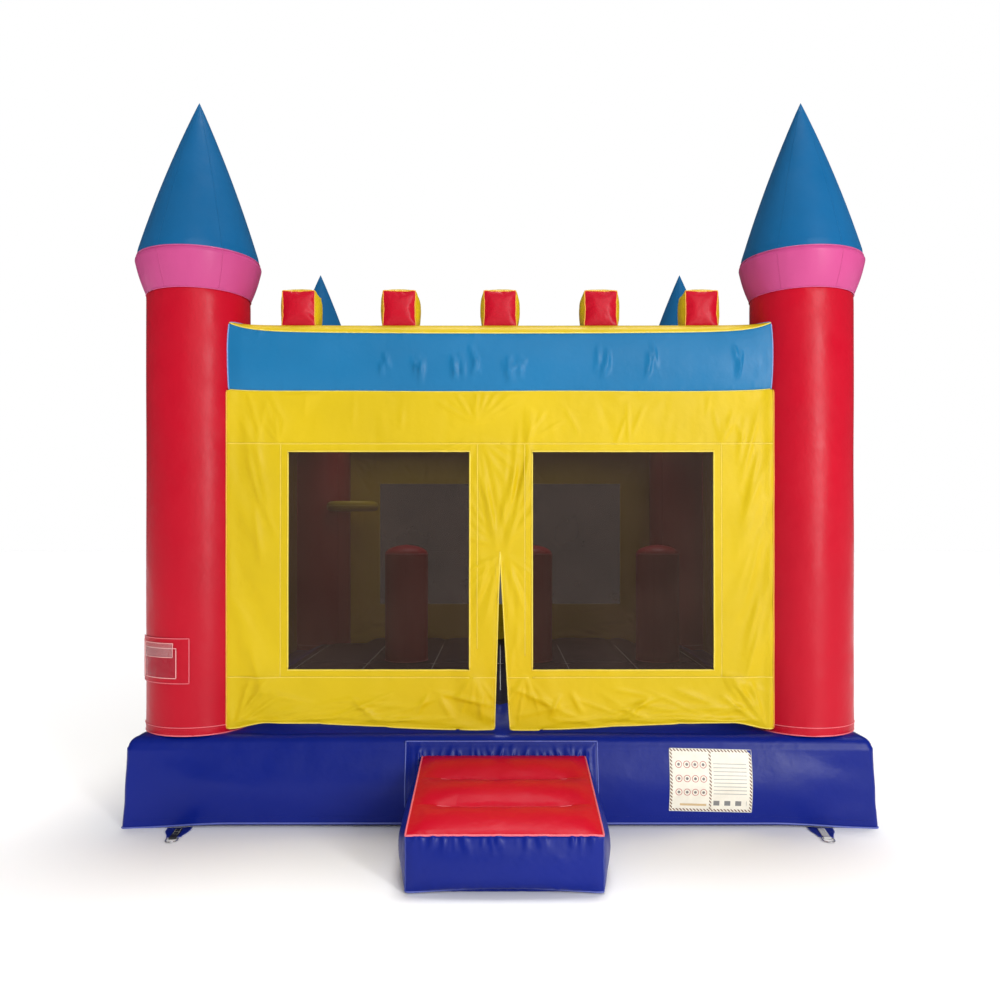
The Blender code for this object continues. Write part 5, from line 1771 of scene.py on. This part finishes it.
def pillars():
    """The three upright bags inside, each with a gathered dome on top."""
    for seed, name in enumerate(("left", "middle", "right")):
        low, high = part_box(f"pillar_{name}")
        centre = ((low.x + high.x) / 2, (low.y + high.y) / 2)
        full = (high.x - low.x) / 2
        cap = high.z - 0.07
        heights = np.concatenate([np.linspace(low.z, low.z + 0.06, 8), np.linspace(low.z + 0.08, cap, 44)])
        h, a = np.meshgrid(heights, ROUND_ANGLES, indexing="ij")
        radius = full - 0.006 * np.exp(-(h - low.z) / 0.02) + (gored(a, 4, 0.004, seed) - 0.003)
        length = 2 * math.pi * full
        radius += puckers(a * full, h - low.z, (0, length), 500 + seed, 0.06, (0.03, 0.10), (0.007, 0.012),
                          (0.001, 0.003), 0.2, length)
        dome_h, dome_r = [], []
        for i in range(1, 22):
            turn = i / 21 * math.pi / 2
            dome_h.append(cap + 0.07 * math.sin(turn))
            share = math.cos(turn)
            away = np.full(ROUND_STATIONS, (1 - share) * full)
            gather = puckers(a[0] * full, away, (0, length), 520 + seed, 0.03, (0.08, 0.16), (0.006, 0.010),
                             (0.001, 0.003), 0.1, length)
            dome_r.append(np.maximum(full * share - 0.002 - gather * share, 0.004))
        h = np.concatenate([h, np.repeat(np.array(dome_h)[:, None], ROUND_STATIONS, 1)])
        radius = np.concatenate([radius, np.array(dome_r)])
        piece = Piece(f"pillar_{name}_fabric")
        grid = turned_grid(radius, h, centre)
        piece.grid(grid, RED, wrap=True)
        piece.tube(grid[-1], 0.004, RED_WELT, closed=True, sides=6)
        piece.tube(ring_path(full - 0.002, high.z - 0.066, centre), 0.003, RED_WELT, True, 6)
        piece.tube(ring_path(full - 0.003, low.z + 0.003, centre), 0.004, RED_WELT, True, 6)
        gore_seams(piece, grid[2:-12], 4, seed, 0.003, RED)
        obj = piece.make("structure", [f"pillar_{name}"], "vinyl_red")


def hoop():
    """The ball ring inside: a torus gathered along its inner seam."""
    low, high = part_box("hoop_ring")
    centre = (low + high) / 2
    tube = (high.z - low.z) / 2
    ring = (high.x - low.x) / 2 - tube
    stations, sides = 144, 32
    t, r = np.meshgrid(np.arange(stations) * 2 * math.pi / stations, np.arange(sides) * 2 * math.pi / sides,
                       indexing="ij")
    inner = (math.pi - np.abs((r % (2 * math.pi)) - math.pi)) * tube
    gather = puckers(t * ring, math.pi * tube - inner, (0, 2 * math.pi * ring), 601, 0.028, (0.03, 0.07),
                     (0.005, 0.009), (0.001, 0.0032), 0.2, 2 * math.pi * ring)
    size = tube - 0.002 + gather - 0.002 * np.exp(-((t % (math.pi / 3)) / 0.03) ** 2)
    x = centre.x + (ring + size * np.cos(r)) * np.cos(t)
    y = centre.y + (ring + size * np.cos(r)) * np.sin(t)
    z = centre.z + size * np.sin(r)
    grid = np.stack([x, y, z], -1)
    piece = Piece("hoop_ring_fabric").add(grid, ring_faces(stations, sides), YELLOW)
    for seam in (sides // 2, 0):
        piece.tube(grid[:, seam], 0.003, YELLOW_WELT, closed=True, sides=6)
    obj = piece.make("structure", ["hoop_ring"], "vinyl_yellow")


# ---------------------------------------------------------------- panel, pocket


def info_panel():
    """Generic printed sheet: a striped border, picture discs on the left and plain bars on the right."""
    low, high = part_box("info_panel")
    cx, cz = (low.x + high.x) / 2, (low.z + high.z) / 2
    width, height, turn = 0.437, 0.322, math.radians(1.3)
    cols, rows = 60, 46
    u, v = np.meshgrid(np.linspace(-0.5, 0.5, cols), np.linspace(-0.5, 0.5, rows), indexing="ij")
    x = cx + u * width * math.cos(turn) + v * height * math.sin(turn)
    z = cz - u * width * math.sin(turn) + v * height * math.cos(turn)
    points = face_point("front", x, z, 0.0022)
    mat = printed_sheet("printed_panel", width, height)
    piece = Piece("info_panel_print").grid(points, mat)
    piece.tube(np.concatenate([points[:, 0], points[-1, 1:], points[-2::-1, -1], points[0, -2:0:-1]]),
               0.0016, WHITE_THREAD, closed=True, sides=5)
    obj = piece.make("structure", ["info_panel"], "print_cream", merge=0, outward=False)
    layer = obj.data.attributes.new("print_place", "FLOAT_VECTOR", "POINT")
    values = np.zeros((len(obj.data.vertices), 3), np.float32)
    values[:cols * rows, 0] = (u.reshape(-1) + 0.5) * width
    values[:cols * rows, 1] = (v.reshape(-1) + 0.5) * height
    layer.data.foreach_set("vector", values.ravel())


def printed_sheet(name, width, height):
    """A print without any lettering: discs, bars and blocks inside a striped border."""
    made = Nodes(name, 0.45)
    place = made.node("ShaderNodeAttribute", {}, attribute_name="print_place").outputs["Vector"]
    split = made.node("ShaderNodeSeparateXYZ", {"Vector": place})
    x, y = split.outputs["X"], split.outputs["Y"]

    def times(first, second):
        return made.math("MULTIPLY", first, second)

    def part_of(value, pitch):
        return made.math("FRACT", times(value, 1 / pitch))

    def under(value, limit):
        return made.math("LESS_THAN", value, limit)

    def inside(value, low, high):
        return times(made.math("GREATER_THAN", value, low), under(value, high))

    def area(x_low, x_high, y_low, y_high):
        return times(inside(x, x_low, x_high), inside(y, y_low, y_high))

    def cell(value, start, pitch):
        part = part_of(made.math("SUBTRACT", value, start), pitch)
        return made.math("ABSOLUTE", made.math("SUBTRACT", part, 0.5))

    border = 0.014
    core = area(border, width - border, border, height - border)
    slant = made.math("FRACT", times(made.math("ADD", x, y), 55.0))
    stripe = made.math("GREATER_THAN", slant, 0.5)
    cream, ink = linear(236, 230, 214), linear(112, 76, 52)
    edge = made.mixed(stripe, cream, ink)
    cell_x, cell_y = cell(x, 0.026, 0.0435), cell(y, 0.068, 0.070)
    reach = made.math("SQRT", made.math("ADD", times(cell_x, cell_x), times(times(cell_y, cell_y), 2.6)))
    disc = times(area(0.026, 0.200, 0.068, 0.278), under(reach, 0.42))
    hole = under(reach, 0.34)
    mark = times(disc, under(reach, 0.17))
    bars = times(area(0.232, 0.408, 0.080, 0.262), under(part_of(y, 0.019), 0.22))
    blocks = times(area(0.232, 0.408, 0.034, 0.060), under(part_of(x, 0.058), 0.55))
    caption = area(0.055, 0.195, 0.030, 0.042)
    divider = area(0.2090, 0.2210, border, height - border)
    tone = cream
    for share, colour in ((disc, linear(186, 92, 84)), (times(disc, hole), cream),
                          (mark, linear(112, 104, 104)), (bars, linear(168, 166, 160)),
                          (blocks, linear(120, 120, 120)),
                          (caption, linear(206, 176, 130)), (divider, edge)):
        tone = made.mixed(share, tone, colour)
    tone = made.mixed(core, edge, tone)
    tone = made.mixed(made.ranged(made.noise(20.0, 4.0), 0.4, 0.8, 0.0, 0.22), tone, linear(170, 160, 140))
    made.colour(tone)
    made.set("Normal", made.bump(made.noise(30.0, 3.0), 0.002, 0.3))
    return made.material


def around_column(angle, height, radius):
    """A point round the front left tower; angle in degrees from -Y towards -X."""
    turn = np.radians(-90.0 - np.asarray(angle, float))
    x = -TOWER_AT + radius * np.cos(turn)
    y = -TOWER_AT + radius * np.sin(turn)
    return np.stack(np.broadcast_arrays(x, y, height), -1)


def pocket_frame(angles, heights, radius):
    """The outline of a patch of the column's surface, all the way round."""
    return np.concatenate([
        around_column(angles, heights[0], radius), around_column(angles[-1], heights[1:], radius),
        around_column(angles[::-1][1:], heights[-1], radius),
        around_column(angles[0], heights[::-1][1:-1], radius)])


def document_pocket():
    """The pocket on the front left tower: a backing patch, a dark window and two pale strips."""
    low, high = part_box("document_pocket")
    arc = (-8.0, 71.0)
    base = COLUMN_RADIUS + 0.0045
    angles = np.linspace(*arc, 70)
    heights = np.linspace(low.z, high.z, 44)
    a, h = np.meshgrid(angles, heights, indexing="ij")
    across = (a - arc[0]) / (arc[1] - arc[0])
    up = (h - low.z) / (high.z - low.z)
    edge = np.minimum(np.minimum(across, 1 - across) * 0.39, np.minimum(up, 1 - up) * 0.24)
    puff = 0.003 * smooth(edge, 0.012, 0.05)
    puff = puff + 0.0012 * waves(np.stack([across * 0.4, up * 0.24], -1), 0.06, 71)
    back = Piece("document_pocket_back").grid(around_column(a, h, base + puff * 0.4), RED)
    back.tube(pocket_frame(angles, heights, base + 0.001), 0.0028, RED_WELT, closed=True, sides=6)
    inner_a, inner_h = angles[12:56], np.linspace(low.z + 0.028, high.z - 0.052, 30)
    a2, h2 = np.meshgrid(inner_a, inner_h, indexing="ij")
    edge2 = np.minimum(np.minimum(a2 - a2.min(), a2.max() - a2) / 79 * 0.39,
                       np.minimum(h2 - h2.min(), h2.max() - h2))
    swell = 0.004 + 0.004 * smooth(edge2, 0.0, 0.04)
    swell = swell + 0.001 * waves(np.stack([a2 * 0.005, h2], -1), 0.05, 72)
    back.grid(around_column(a2, h2, base + swell), DARK_CLEAR)
    back.tube(pocket_frame(inner_a, inner_h, base + 0.0045), 0.0026, PINK_EDGE, closed=True, sides=6)
    for angle in (angles[59], angles[63]):
        strip = around_column(angle, heights[3:-3], base + 0.0035)
        back.tube(strip, 0.0022, PINK_EDGE, sides=5)
    back.make("structure", ["document_pocket"], "vinyl_red", merge=0, outward=False)


def pocket_flap():
    """The clear cover over the pocket, standing a little further off the column than its pocket."""
    joint = JOINTS["pocket_cover_fold"]
    top = joint["pos_m"][2]
    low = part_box("pocket_flap")[0]
    arc = (9.0, 53.0)
    radius = math.hypot(joint["pos_m"][0] + TOWER_AT, joint["pos_m"][1] + TOWER_AT) + 0.0030
    a, h = np.meshgrid(np.linspace(*arc, 48), np.linspace(low.z, top - 0.001, 18), indexing="ij")
    wave = 0.0012 * np.sin(a * 0.35) * (top - h) / 0.075
    piece = Piece("pocket_flap_film")
    outer = around_column(a, h, radius + wave + 0.001 + 0.0050 * smooth(top - h, 0.002, 0.022))
    piece.grid(outer, CLEAR)
    edge = np.concatenate([outer[0, ::-1], outer[1:, 0], outer[-1, 1:]])
    piece.tube(edge, 0.0019, PINK_EDGE, sides=6)
    piece.tube(outer[:, -1] + [0, 0, 0.0005], 0.0022, PINK_EDGE, sides=6)
    obj = piece.make("pocket_cover", ["pocket_flap"], "vinyl_clear", merge=0, outward=False)


# ---------------------------------------------------------------- air side at the back


def sleeve_axis():
    """Middle of the sleeve's root on the back of the base, and its outward direction."""
    low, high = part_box("inflation_sleeve")
    out = Vector((0.0, math.cos(math.atan2(LEAN, 1)), math.sin(math.atan2(LEAN, 1))))
    x = (low.x + high.x) / 2
    up = 0.235
    root = Vector((x, BASE_HALF, 0.0)) + Vector((0.0, -out.z, out.y)) * up
    return root, out


def sleeve_point(angle, along, radius):
    """A point round the sleeve's axis, along metres out from its root."""
    root, out = sleeve_axis()
    side = np.array([-1.0, 0.0, 0.0])
    up = np.array([0.0, -out.z, out.y])
    angle, along, radius = np.broadcast_arrays(angle, along, radius)
    return (np.array(root) + along[..., None] * np.array(out)
            + radius[..., None] * (np.cos(angle)[..., None] * side + np.sin(angle)[..., None] * up))


SLEEVE_RADIUS = 0.14
SLEEVE_LENGTH = 0.30
STRAP_AT, STRAP_WIDTH = 0.20, 0.038


def inflation_sleeve():
    """The blower's sleeve: a soft tube gathered on both sides of its strap, with a sewn-on flange."""
    along = np.concatenate([np.linspace(0.0, 0.02, 5), np.linspace(0.026, SLEEVE_LENGTH, 56)])
    s, a = np.meshgrid(along, ROUND_ANGLES, indexing="ij")
    length = 2 * math.pi * SLEEVE_RADIUS
    from_strap = np.minimum(np.abs(s - STRAP_AT), np.abs(s - STRAP_AT - STRAP_WIDTH))
    in_strap = (s > STRAP_AT - 0.004) & (s < STRAP_AT + STRAP_WIDTH + 0.004)
    radius = SLEEVE_RADIUS - 0.003 - 0.010 * np.exp(-from_strap / 0.03) * ~in_strap - 0.008 * in_strap
    before = puckers(a * SLEEVE_RADIUS, np.clip(STRAP_AT - s, 0, None), (0, length), 701, 0.024, (0.05, 0.13),
                     (0.006, 0.010), (0.002, 0.006), 0.15, length) * (s < STRAP_AT)
    after = puckers(a * SLEEVE_RADIUS, np.clip(s - STRAP_AT - STRAP_WIDTH, 0, None), (0, length), 702, 0.024,
                    (0.03, 0.06), (0.006, 0.010), (0.002, 0.005), 0.15, length) * (s > STRAP_AT + STRAP_WIDTH)
    radius = radius + before + after - 0.004 * smooth(0.02 - s, 0, 0.02)
    radius += 0.002 * waves(np.stack([np.cos(a) * 0.2, np.sin(a) * 0.2, s], -1), 0.12, 705)
    radius = np.where(in_strap, np.minimum(radius, SLEEVE_RADIUS - 0.006), radius)
    outer = sleeve_point(a, s, radius)
    inner = sleeve_point(a, s, radius - 0.003)
    piece = Piece("inflation_sleeve_fabric")
    piece.grid(outer, NAVY, wrap=True)
    piece.grid(inner, NAVY, wrap=True)
    flange_radii = np.linspace(SLEEVE_RADIUS - 0.008, SLEEVE_RADIUS + 0.022, 5)
    ring = []
    for t, r in zip(np.linspace(0, 1, 5), flange_radii):
        flat_ring = sleeve_point(ROUND_ANGLES, 0.0, r)
        ring.append(face_point("back", -flat_ring[:, 0], flat_ring[:, 2], 0.004 - 0.002 * t))
    piece.grid(np.stack(ring), NAVY, wrap=True)
    piece.tube(ring[-1], 0.0026, NAVY_WELT, closed=True, sides=6)
    mouth = sleeve_point(ROUND_ANGLES, SLEEVE_LENGTH, radius[-1] - 0.0015)
    piece.tube(mouth, 0.0040, NAVY_WELT, closed=True, sides=8)
    mouth_seam = sleeve_point(ROUND_ANGLES, SLEEVE_LENGTH - 0.025, radius[-6] + 0.0004)
    piece.tube(mouth_seam, 0.0014, NAVY_THREAD, True, 5)
    piece.make("structure", ["inflation_sleeve"], "vinyl_navy_blue", merge=0, outward=False)


def sleeve_strap():
    """The webbing strap round the sleeve, with its end lapped over and stitched."""
    along = np.linspace(STRAP_AT, STRAP_AT + STRAP_WIDTH, 7)
    s, a = np.meshgrid(along, ROUND_ANGLES, indexing="ij")
    edge = np.abs(s - STRAP_AT - STRAP_WIDTH / 2) / (STRAP_WIDTH / 2)
    radius = SLEEVE_RADIUS - 0.0015 + 0.001 * np.sin(a * 5) - 0.0008 * edge ** 4
    outer = sleeve_point(a, s, radius + 0.0016)
    inner = sleeve_point(a, s, radius - 0.0008)
    rim = np.concatenate([outer, inner[::-1], outer[:1]])
    piece = Piece("sleeve_strap_webbing").grid(rim, WEBBING, wrap=True)
    part = (ROUND_ANGLES > 1.1) & (ROUND_ANGLES < 1.75)
    tail = sleeve_point(a[:, part], s[:, part], radius[:, part] + 0.0042)
    tail_in = sleeve_point(a[:, part], s[:, part], radius[:, part] + 0.0018)
    piece.grid(np.concatenate([tail, tail_in[::-1], tail[:1]]), WEBBING)
    for k in (1, 5):
        up = tail[k] - np.array(sleeve_axis()[0])
        up /= np.linalg.norm(up, axis=1, keepdims=True)
        piece.stitches(tail[k] + up * 0.0004, up, WHITE_THREAD, 0.007, 0.004)
    piece.make("structure", ["sleeve_strap"], "webbing_black")


ZIP_LOW, ZIP_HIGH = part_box("deflation_zipper")


def deflation_zipper():
    """The zipper that lets the air out: a woven tape, two rows of teeth and two lines of stitches."""
    middle = (ZIP_LOW.z + ZIP_HIGH.z) / 2
    x = np.linspace(ZIP_LOW.x, ZIP_HIGH.x, 120)
    z = np.linspace(ZIP_LOW.z, ZIP_HIGH.z, 12)
    xs, zs = np.meshgrid(x, z, indexing="ij")
    tape_lift = 0.0008 + 0.0004 * waves(np.stack([xs, zs], -1), 0.05, 81)
    out = zipper_face(xs, zs, tape_lift)
    piece = Piece("deflation_zipper_tape").grid(out, WEBBING)
    tooth, pitch = 0.0028, 0.0042
    count = int((ZIP_HIGH.x - ZIP_LOW.x - 0.03) / pitch)
    for k in range(count):
        tx = ZIP_LOW.x + 0.015 + k * pitch
        side = 1 if k % 2 else -1
        block = []
        for half, rise, lift in ((tooth / 2, 0.004, 0.0014), (tooth / 3, 0.003, 0.0030)):
            for sign in (-1, 1):
                ends = np.array([tx + sign * half, tx - sign * half])
                block.append(zipper_face(ends, np.full(2, middle + sign * rise + side * 0.0008), lift))
        block = np.concatenate(block)
        piece.add(block, [[4, 5, 6, 7], [0, 1, 5, 4], [1, 2, 6, 5], [2, 3, 7, 6], [3, 0, 4, 7]], ZIP_PLASTIC)
    for line in (middle - 0.022, middle + 0.022):
        path = zipper_face(x, np.full_like(x, line), 0.0016)
        piece.stitches(path, (0, 1, 0), WHITE_THREAD, 0.008, 0.005)
    piece.make("structure", ["deflation_zipper"], "webbing_black", merge=0, outward=False)


def zipper_face(x, z, lift):
    """On the flat slope of the base's back, where the zipper and its cover lie."""
    x, z = np.asarray(x, float), np.asarray(z, float)
    y = BASE_HALF - LEAN * z + lift
    return np.stack(np.broadcast_arrays(x, y, z), -1)


def zipper_slider():
    """The slider body clamps the teeth; the pull tab hangs from its bridge."""
    low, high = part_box("zipper_slider")
    cx, cz = (low.x + high.x) / 2, (ZIP_LOW.z + ZIP_HIGH.z) / 2
    piece = Piece("zipper_slider_body")
    outline = [(-0.013, 0.006), (-0.009, 0.0095), (0.006, 0.0085), (0.013, 0.005), (0.013, -0.005),
               (0.006, -0.0085), (-0.009, -0.0095), (-0.013, -0.006)]
    levels = ((0.0022, 1.0), (0.0052, 1.0), (0.0060, 0.9))
    rings = [zipper_face([cx + x * k for x, _ in outline], [cz + z * k for _, z in outline], lift)
             for lift, k in levels]
    piece.grid(np.stack(rings), STEEL, wrap=True)
    count = len(outline)
    piece.add(rings[-1], [list(range(count))], STEEL)
    piece.add(rings[0], [list(range(count))[::-1]], STEEL)
    bridge = [(-0.008, 0.0058), (-0.006, 0.0092), (0.0, 0.0104), (0.006, 0.0092), (0.008, 0.0058)]
    path = np.array([zipper_face(cx + x, cz, lift) for x, lift in bridge])
    piece.tube(resampled(path, 0.0012), 0.0014, STEEL, sides=8)
    tab = []
    for along, half in ((0.000, 0.0035), (-0.004, 0.0055), (-0.024, 0.0055),
                        (-0.029, 0.0045), (-0.031, 0.002)):
        tab.append([zipper_face(cx + side * half, cz + along, 0.0084 + level)
                    for side, level in ((-1, -0.0011), (1, -0.0011), (1, 0.0011), (-1, 0.0011))])
    tab = np.array(tab)
    piece.grid(tab, STEEL, wrap=True)
    piece.add(tab[0], [[3, 2, 1, 0]], STEEL)
    piece.add(tab[-1], [[0, 1, 2, 3]], STEEL)
    piece.make("zip_slider", ["zipper_slider"], "steel")


def zipper_cover():
    """The rain flap over the zipper, sewn along its top edge, which is its fold line."""
    low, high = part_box("zipper_cover")
    top = JOINTS["zip_cover_fold"]["pos_m"][2]
    x = np.linspace(low.x + 0.001, high.x - 0.001, 90)
    z = np.linspace(low.z + 0.001, top, 26)
    xs, zs = np.meshgrid(x, z, indexing="ij")
    down = (top - zs) / (top - low.z)
    lift = 0.0125 * smooth(down, 0.0, 0.32) + 0.0006
    wave = 0.0018 * waves(np.stack([xs, zs], -1), 0.16, 91) + 0.002 * np.sin(xs * 46) * down ** 2
    lift = lift + wave * down
    points = zipper_face(xs, zs, np.clip(lift, 0.0006, 0.0160))
    normals = np.zeros((points.size // 3, 3)) + [0.0, 1.0, LEAN]
    faces = grid_faces(*points.shape[:2])
    piece = Piece("zipper_cover_fabric")
    both, made, _ = shell_arrays(points.reshape(-1, 3), normals, faces, 0.0016)
    piece.add(both, made, NAVY)
    edge = np.concatenate([points[0, ::-1], points[1:, 0], points[-1, 1:]])
    piece.tube(edge, 0.0021, NAVY_WELT, sides=6)
    piece.stitches(points[:, -3] + [0, 0.002, 0], (0, 1, 0), NAVY_THREAD)
    inner = np.concatenate([points[3, -4:3:-1], points[3:-3, 3], points[-4, 4:-3]])
    piece.stitches(inner + [0, 0.0012, 0], (0, 1, 0), NAVY_THREAD)
    obj = piece.make("zip_cover", ["zipper_cover"], "vinyl_navy_blue")


# ---------------------------------------------------------------- anchors


def anchors():
    """A tab and a ring under each lower corner of the base, pointing out along the ring's joint."""
    for corner, (_, sy) in CORNERS.items():
        joint = JOINTS[f"ring_{corner}_hinge"]
        pin = np.array(joint["pos_m"], float)
        axis = np.array(joint["axis"], float)
        axis[2] = 0
        axis /= np.linalg.norm(axis)
        out = np.array([-axis[1], axis[0], 0.0])
        if out[1] * sy < 0:
            out = -out
        across = np.array([-out[1], out[0], 0.0])
        up = np.array([0.0, 0.0, 1.0])
        anchor_tab(corner, pin, out, across, up)
        anchor_ring(corner, pin, out, across, up)


def anchor_tab(corner, pin, out, across, up):
    """Fabric tongue from under the base with a webbing strip sewn along it, looped round the ring."""
    length = 0.165
    piece = Piece(f"anchor_tab_{corner}_webbing")
    t, w = np.meshgrid(np.linspace(0.0, 1.0, 34), np.linspace(-1.0, 1.0, 15), indexing="ij")
    half = 0.063 - 0.026 * smooth(t, 0.25, 1.0)
    wave = 0.0012 * waves(np.stack([t * length, w * half], -1), 0.08, sum(map(ord, corner)))
    height = 0.0026 + wave * smooth(t, 0.0, 0.2) * (1 - smooth(t, 0.85, 1.0)) + 0.0008 * w * w
    height = np.clip(height, 0.0014, 0.006)
    back = -length - 0.010
    reach = back + (length - 0.014) * t
    foot = pin * [1, 1, 0]
    points = foot + reach[..., None] * out + (w * half)[..., None] * across + height[..., None] * up
    faces = grid_faces(*points.shape[:2])
    upwards = np.zeros((points.size // 3, 3)) + up
    both, made, _ = shell_arrays(points.reshape(-1, 3), upwards, faces, 0.0022)
    piece.add(both, made, NAVY)
    edge = np.concatenate([points[:, 0], points[-1, 1:], points[::-1, -1][1:]])
    piece.tube(edge, 0.0018, NAVY_WELT, sides=5)
    strip_half = 0.019
    loop_radius = 0.0052
    path = [(back + 0.02, 0.0050)]
    path += [(back + 0.02 + (length - 0.05) * k / 10, 0.0052 + 0.0004 * math.sin(k)) for k in range(1, 11)]
    for k in range(9):
        turn = math.radians(100 - k * 28)
        path.append((loop_radius * math.cos(turn), pin[2] + loop_radius * math.sin(turn)))
    path += [(-0.014, 0.0022), (-0.022, 0.0020)]
    line = np.array([foot + a * out + h * up for a, h in path])
    line = resampled(line, 0.0022)
    width = np.linspace(-1, 1, 9)
    grid = line[:, None] + (width * strip_half)[None, :, None] * across
    along = tangents(line, False)
    face_up = np.cross(along, across)
    if face_up[2, 2] < 0:
        face_up = -face_up
    normals = np.repeat(face_up, len(width), 0)
    both, made, _ = shell_arrays(grid.reshape(-1, 3), normals, grid_faces(*grid.shape[:2]), 0.0019)
    # The front right strap gets the near-white webbing, which is painted glare; the other straps are black.
    piece.add(both, made, WEBBING_PAINTED_GLARE if corner == "front_right" else WEBBING)
    flat_part = line[4:46]
    for side in (-0.013, 0.013):
        piece.stitches(flat_part + across * side + up * 0.0011, up, WHITE_THREAD, 0.006, 0.0038)
    for k in (0.06, 0.10):
        centre = foot - out * k + up * 0.0064
        cross = np.array([centre + across * s * 0.013 for s in np.linspace(-1, 1, 8)])
        piece.stitches(cross, up, WHITE_THREAD, 0.006, 0.0038)
    piece.make("structure", [f"anchor_tab_{corner}"], "webbing_black")


def anchor_ring(corner, pin, out, across, up):
    """Welded D-ring: a straight bar through the loop and a round bow."""
    wire, half, depth = 0.0031, 0.029, 0.062
    bow = []
    for k in range(33):
        turn = math.pi * k / 32
        bow.append((half * math.cos(turn), depth - half + half * math.sin(turn)))
    path = [(-half + 0.004, 0.0)] + [(s, 0.0) for s in np.linspace(-half + 0.006, half - 0.006, 14)]
    path += [(half - 0.004, 0.0), (half - 0.0012, 0.0012), (half, 0.004)]
    path += bow + [(-half, 0.004), (-half + 0.0012, 0.0012)]
    line = np.array([pin + s * across + d * out for s, d in path])
    line = resampled(line, 0.0022, closed=True)
    piece = Piece(f"anchor_ring_{corner}_steel")
    piece.tube(line, wire, STEEL, closed=True, sides=14, up=up)
    weld_at = pin + across * (half * 0.2)
    bead = np.array([weld_at + across * s for s in np.linspace(-0.003, 0.003, 7)])
    piece.tube(bead, wire + 0.0004, STEEL, sides=14, up=up)
    piece.make(f"ring_{corner}", [f"anchor_ring_{corner}"], "steel")


# ---------------------------------------------------------------- stage, lights and camera


AMBIENT = 0.42


def area_light(name, location, target, energy, size):
    """A softbox at a place, turned towards its target."""
    light = bpy.data.lights.new(name, "AREA")
    light.energy = energy
    light.shape = "RECTANGLE"
    light.size, light.size_y = size
    obj = bpy.data.objects.new(name, light)
    obj.location = location
    obj.rotation_euler = (Vector(target) - Vector(location)).to_track_quat("-Z", "Y").to_euler()
    bpy.context.scene.collection.objects.link(obj)


def stage():
    """White floor and surroundings, one tall softbox and two soft suns."""
    mesh = bpy.data.meshes.new("studio_floor")
    mesh.from_pydata([(-60, -60, 0), (60, -60, 0), (60, 60, 0), (-60, 60, 0)], [], [(0, 1, 2, 3)])
    floor = bpy.data.objects.new("studio_floor", mesh)
    bpy.context.scene.collection.objects.link(floor)
    made = Nodes("studio_floor", 0.9)
    made.colour(made.mixed(made.ranged(made.noise(0.4, 2.0), 0.3, 0.7, 0.0, 0.02), (0.97, 0.97, 0.97, 1),
                           (0.955, 0.955, 0.955, 1)))
    mesh.materials.append(made.material)
    world = bpy.data.worlds.new("studio")
    world.use_nodes = True
    tree = world.node_tree
    background = tree.nodes["Background"]
    background.inputs["Color"].default_value = (1.0, 1.0, 1.0, 1.0)
    seen = tree.nodes.new("ShaderNodeLightPath").outputs["Is Camera Ray"]
    strength = tree.nodes.new("ShaderNodeMapRange")
    strength.inputs["To Min"].default_value = AMBIENT
    strength.inputs["To Max"].default_value = 1.0
    tree.links.new(seen, strength.inputs["Value"])
    reflected = tree.nodes.new("ShaderNodeMath")
    reflected.operation = "MULTIPLY_ADD"
    reflected.inputs[1].default_value = -0.34
    tree.links.new(seen.node.outputs["Is Glossy Ray"], reflected.inputs[0])
    tree.links.new(strength.outputs["Result"], reflected.inputs[2])
    tree.links.new(reflected.outputs["Value"], background.inputs["Strength"])
    bpy.context.scene.world = world
    bpy.context.scene.view_settings.view_transform = "Standard"
    bpy.context.scene.view_settings.look = "None"
    area_light("tall_softbox", (5.8, -11.5, 3.6), (0.0, -1.7, 1.9), 600.0, (1.3, 5.2))
    sun("overhead", (0.08, 0.24, 1.0), 1.90, 24.0)
    sun("front", (0.25, -1.0, 0.48), 0.76, 40.0)


def sun(name, towards, strength, angle):
    """A far soft light; towards points from the object to it."""
    light = bpy.data.lights.new(name, "SUN")
    light.energy = strength
    light.angle = math.radians(angle)
    obj = bpy.data.objects.new(name, light)
    obj.rotation_euler = Vector(towards).to_track_quat("Z", "Y").to_euler()
    bpy.context.scene.collection.objects.link(obj)


def camera():
    """The photograph's viewpoint: level, in front of the middle, close to the height of a head."""
    data = bpy.data.cameras.new("camera")
    data.lens = 32.04
    data.sensor_width = 36.0
    data.shift_y = 0.03
    data.clip_end = 200.0
    obj = bpy.data.objects.new("camera", data)
    obj.location = (0.0, -6.734, 1.585)
    obj.rotation_euler = (math.pi / 2, 0.0, 0.0)
    bpy.context.scene.collection.objects.link(obj)
    bpy.context.scene.camera = obj


# ---------------------------------------------------------------- all pieces

CLEAR = clear_film("clear_film", linear(226, 214, 212), 0.20)
DARK_CLEAR = vinyl("document_window", linear(160, 30, 46), 0.22, 0.25)
PINK_EDGE = welt_vinyl("pale_pink_edge", linear(244, 176, 176))
ZIP_PLASTIC = web_cloth("zip_plastic", linear(30, 30, 34), 0.45)

front_run = start_front()
wall_run = start_wall()
merlon_runs = start_merlons()
step_run = start_step()
Cloth.run_all()

base_skirt()
ground_sheet()
bounce_floor()
towers()
beams()
merlons(merlon_runs)
front_wall(front_run)
side_walls(wall_run)
step(step_run)
step_apron()
pillars()
hoop()
info_panel()
document_pocket()
pocket_flap()
inflation_sleeve()
sleeve_strap()
deflation_zipper()
zipper_slider()
zipper_cover()
anchors()
stage()
camera()
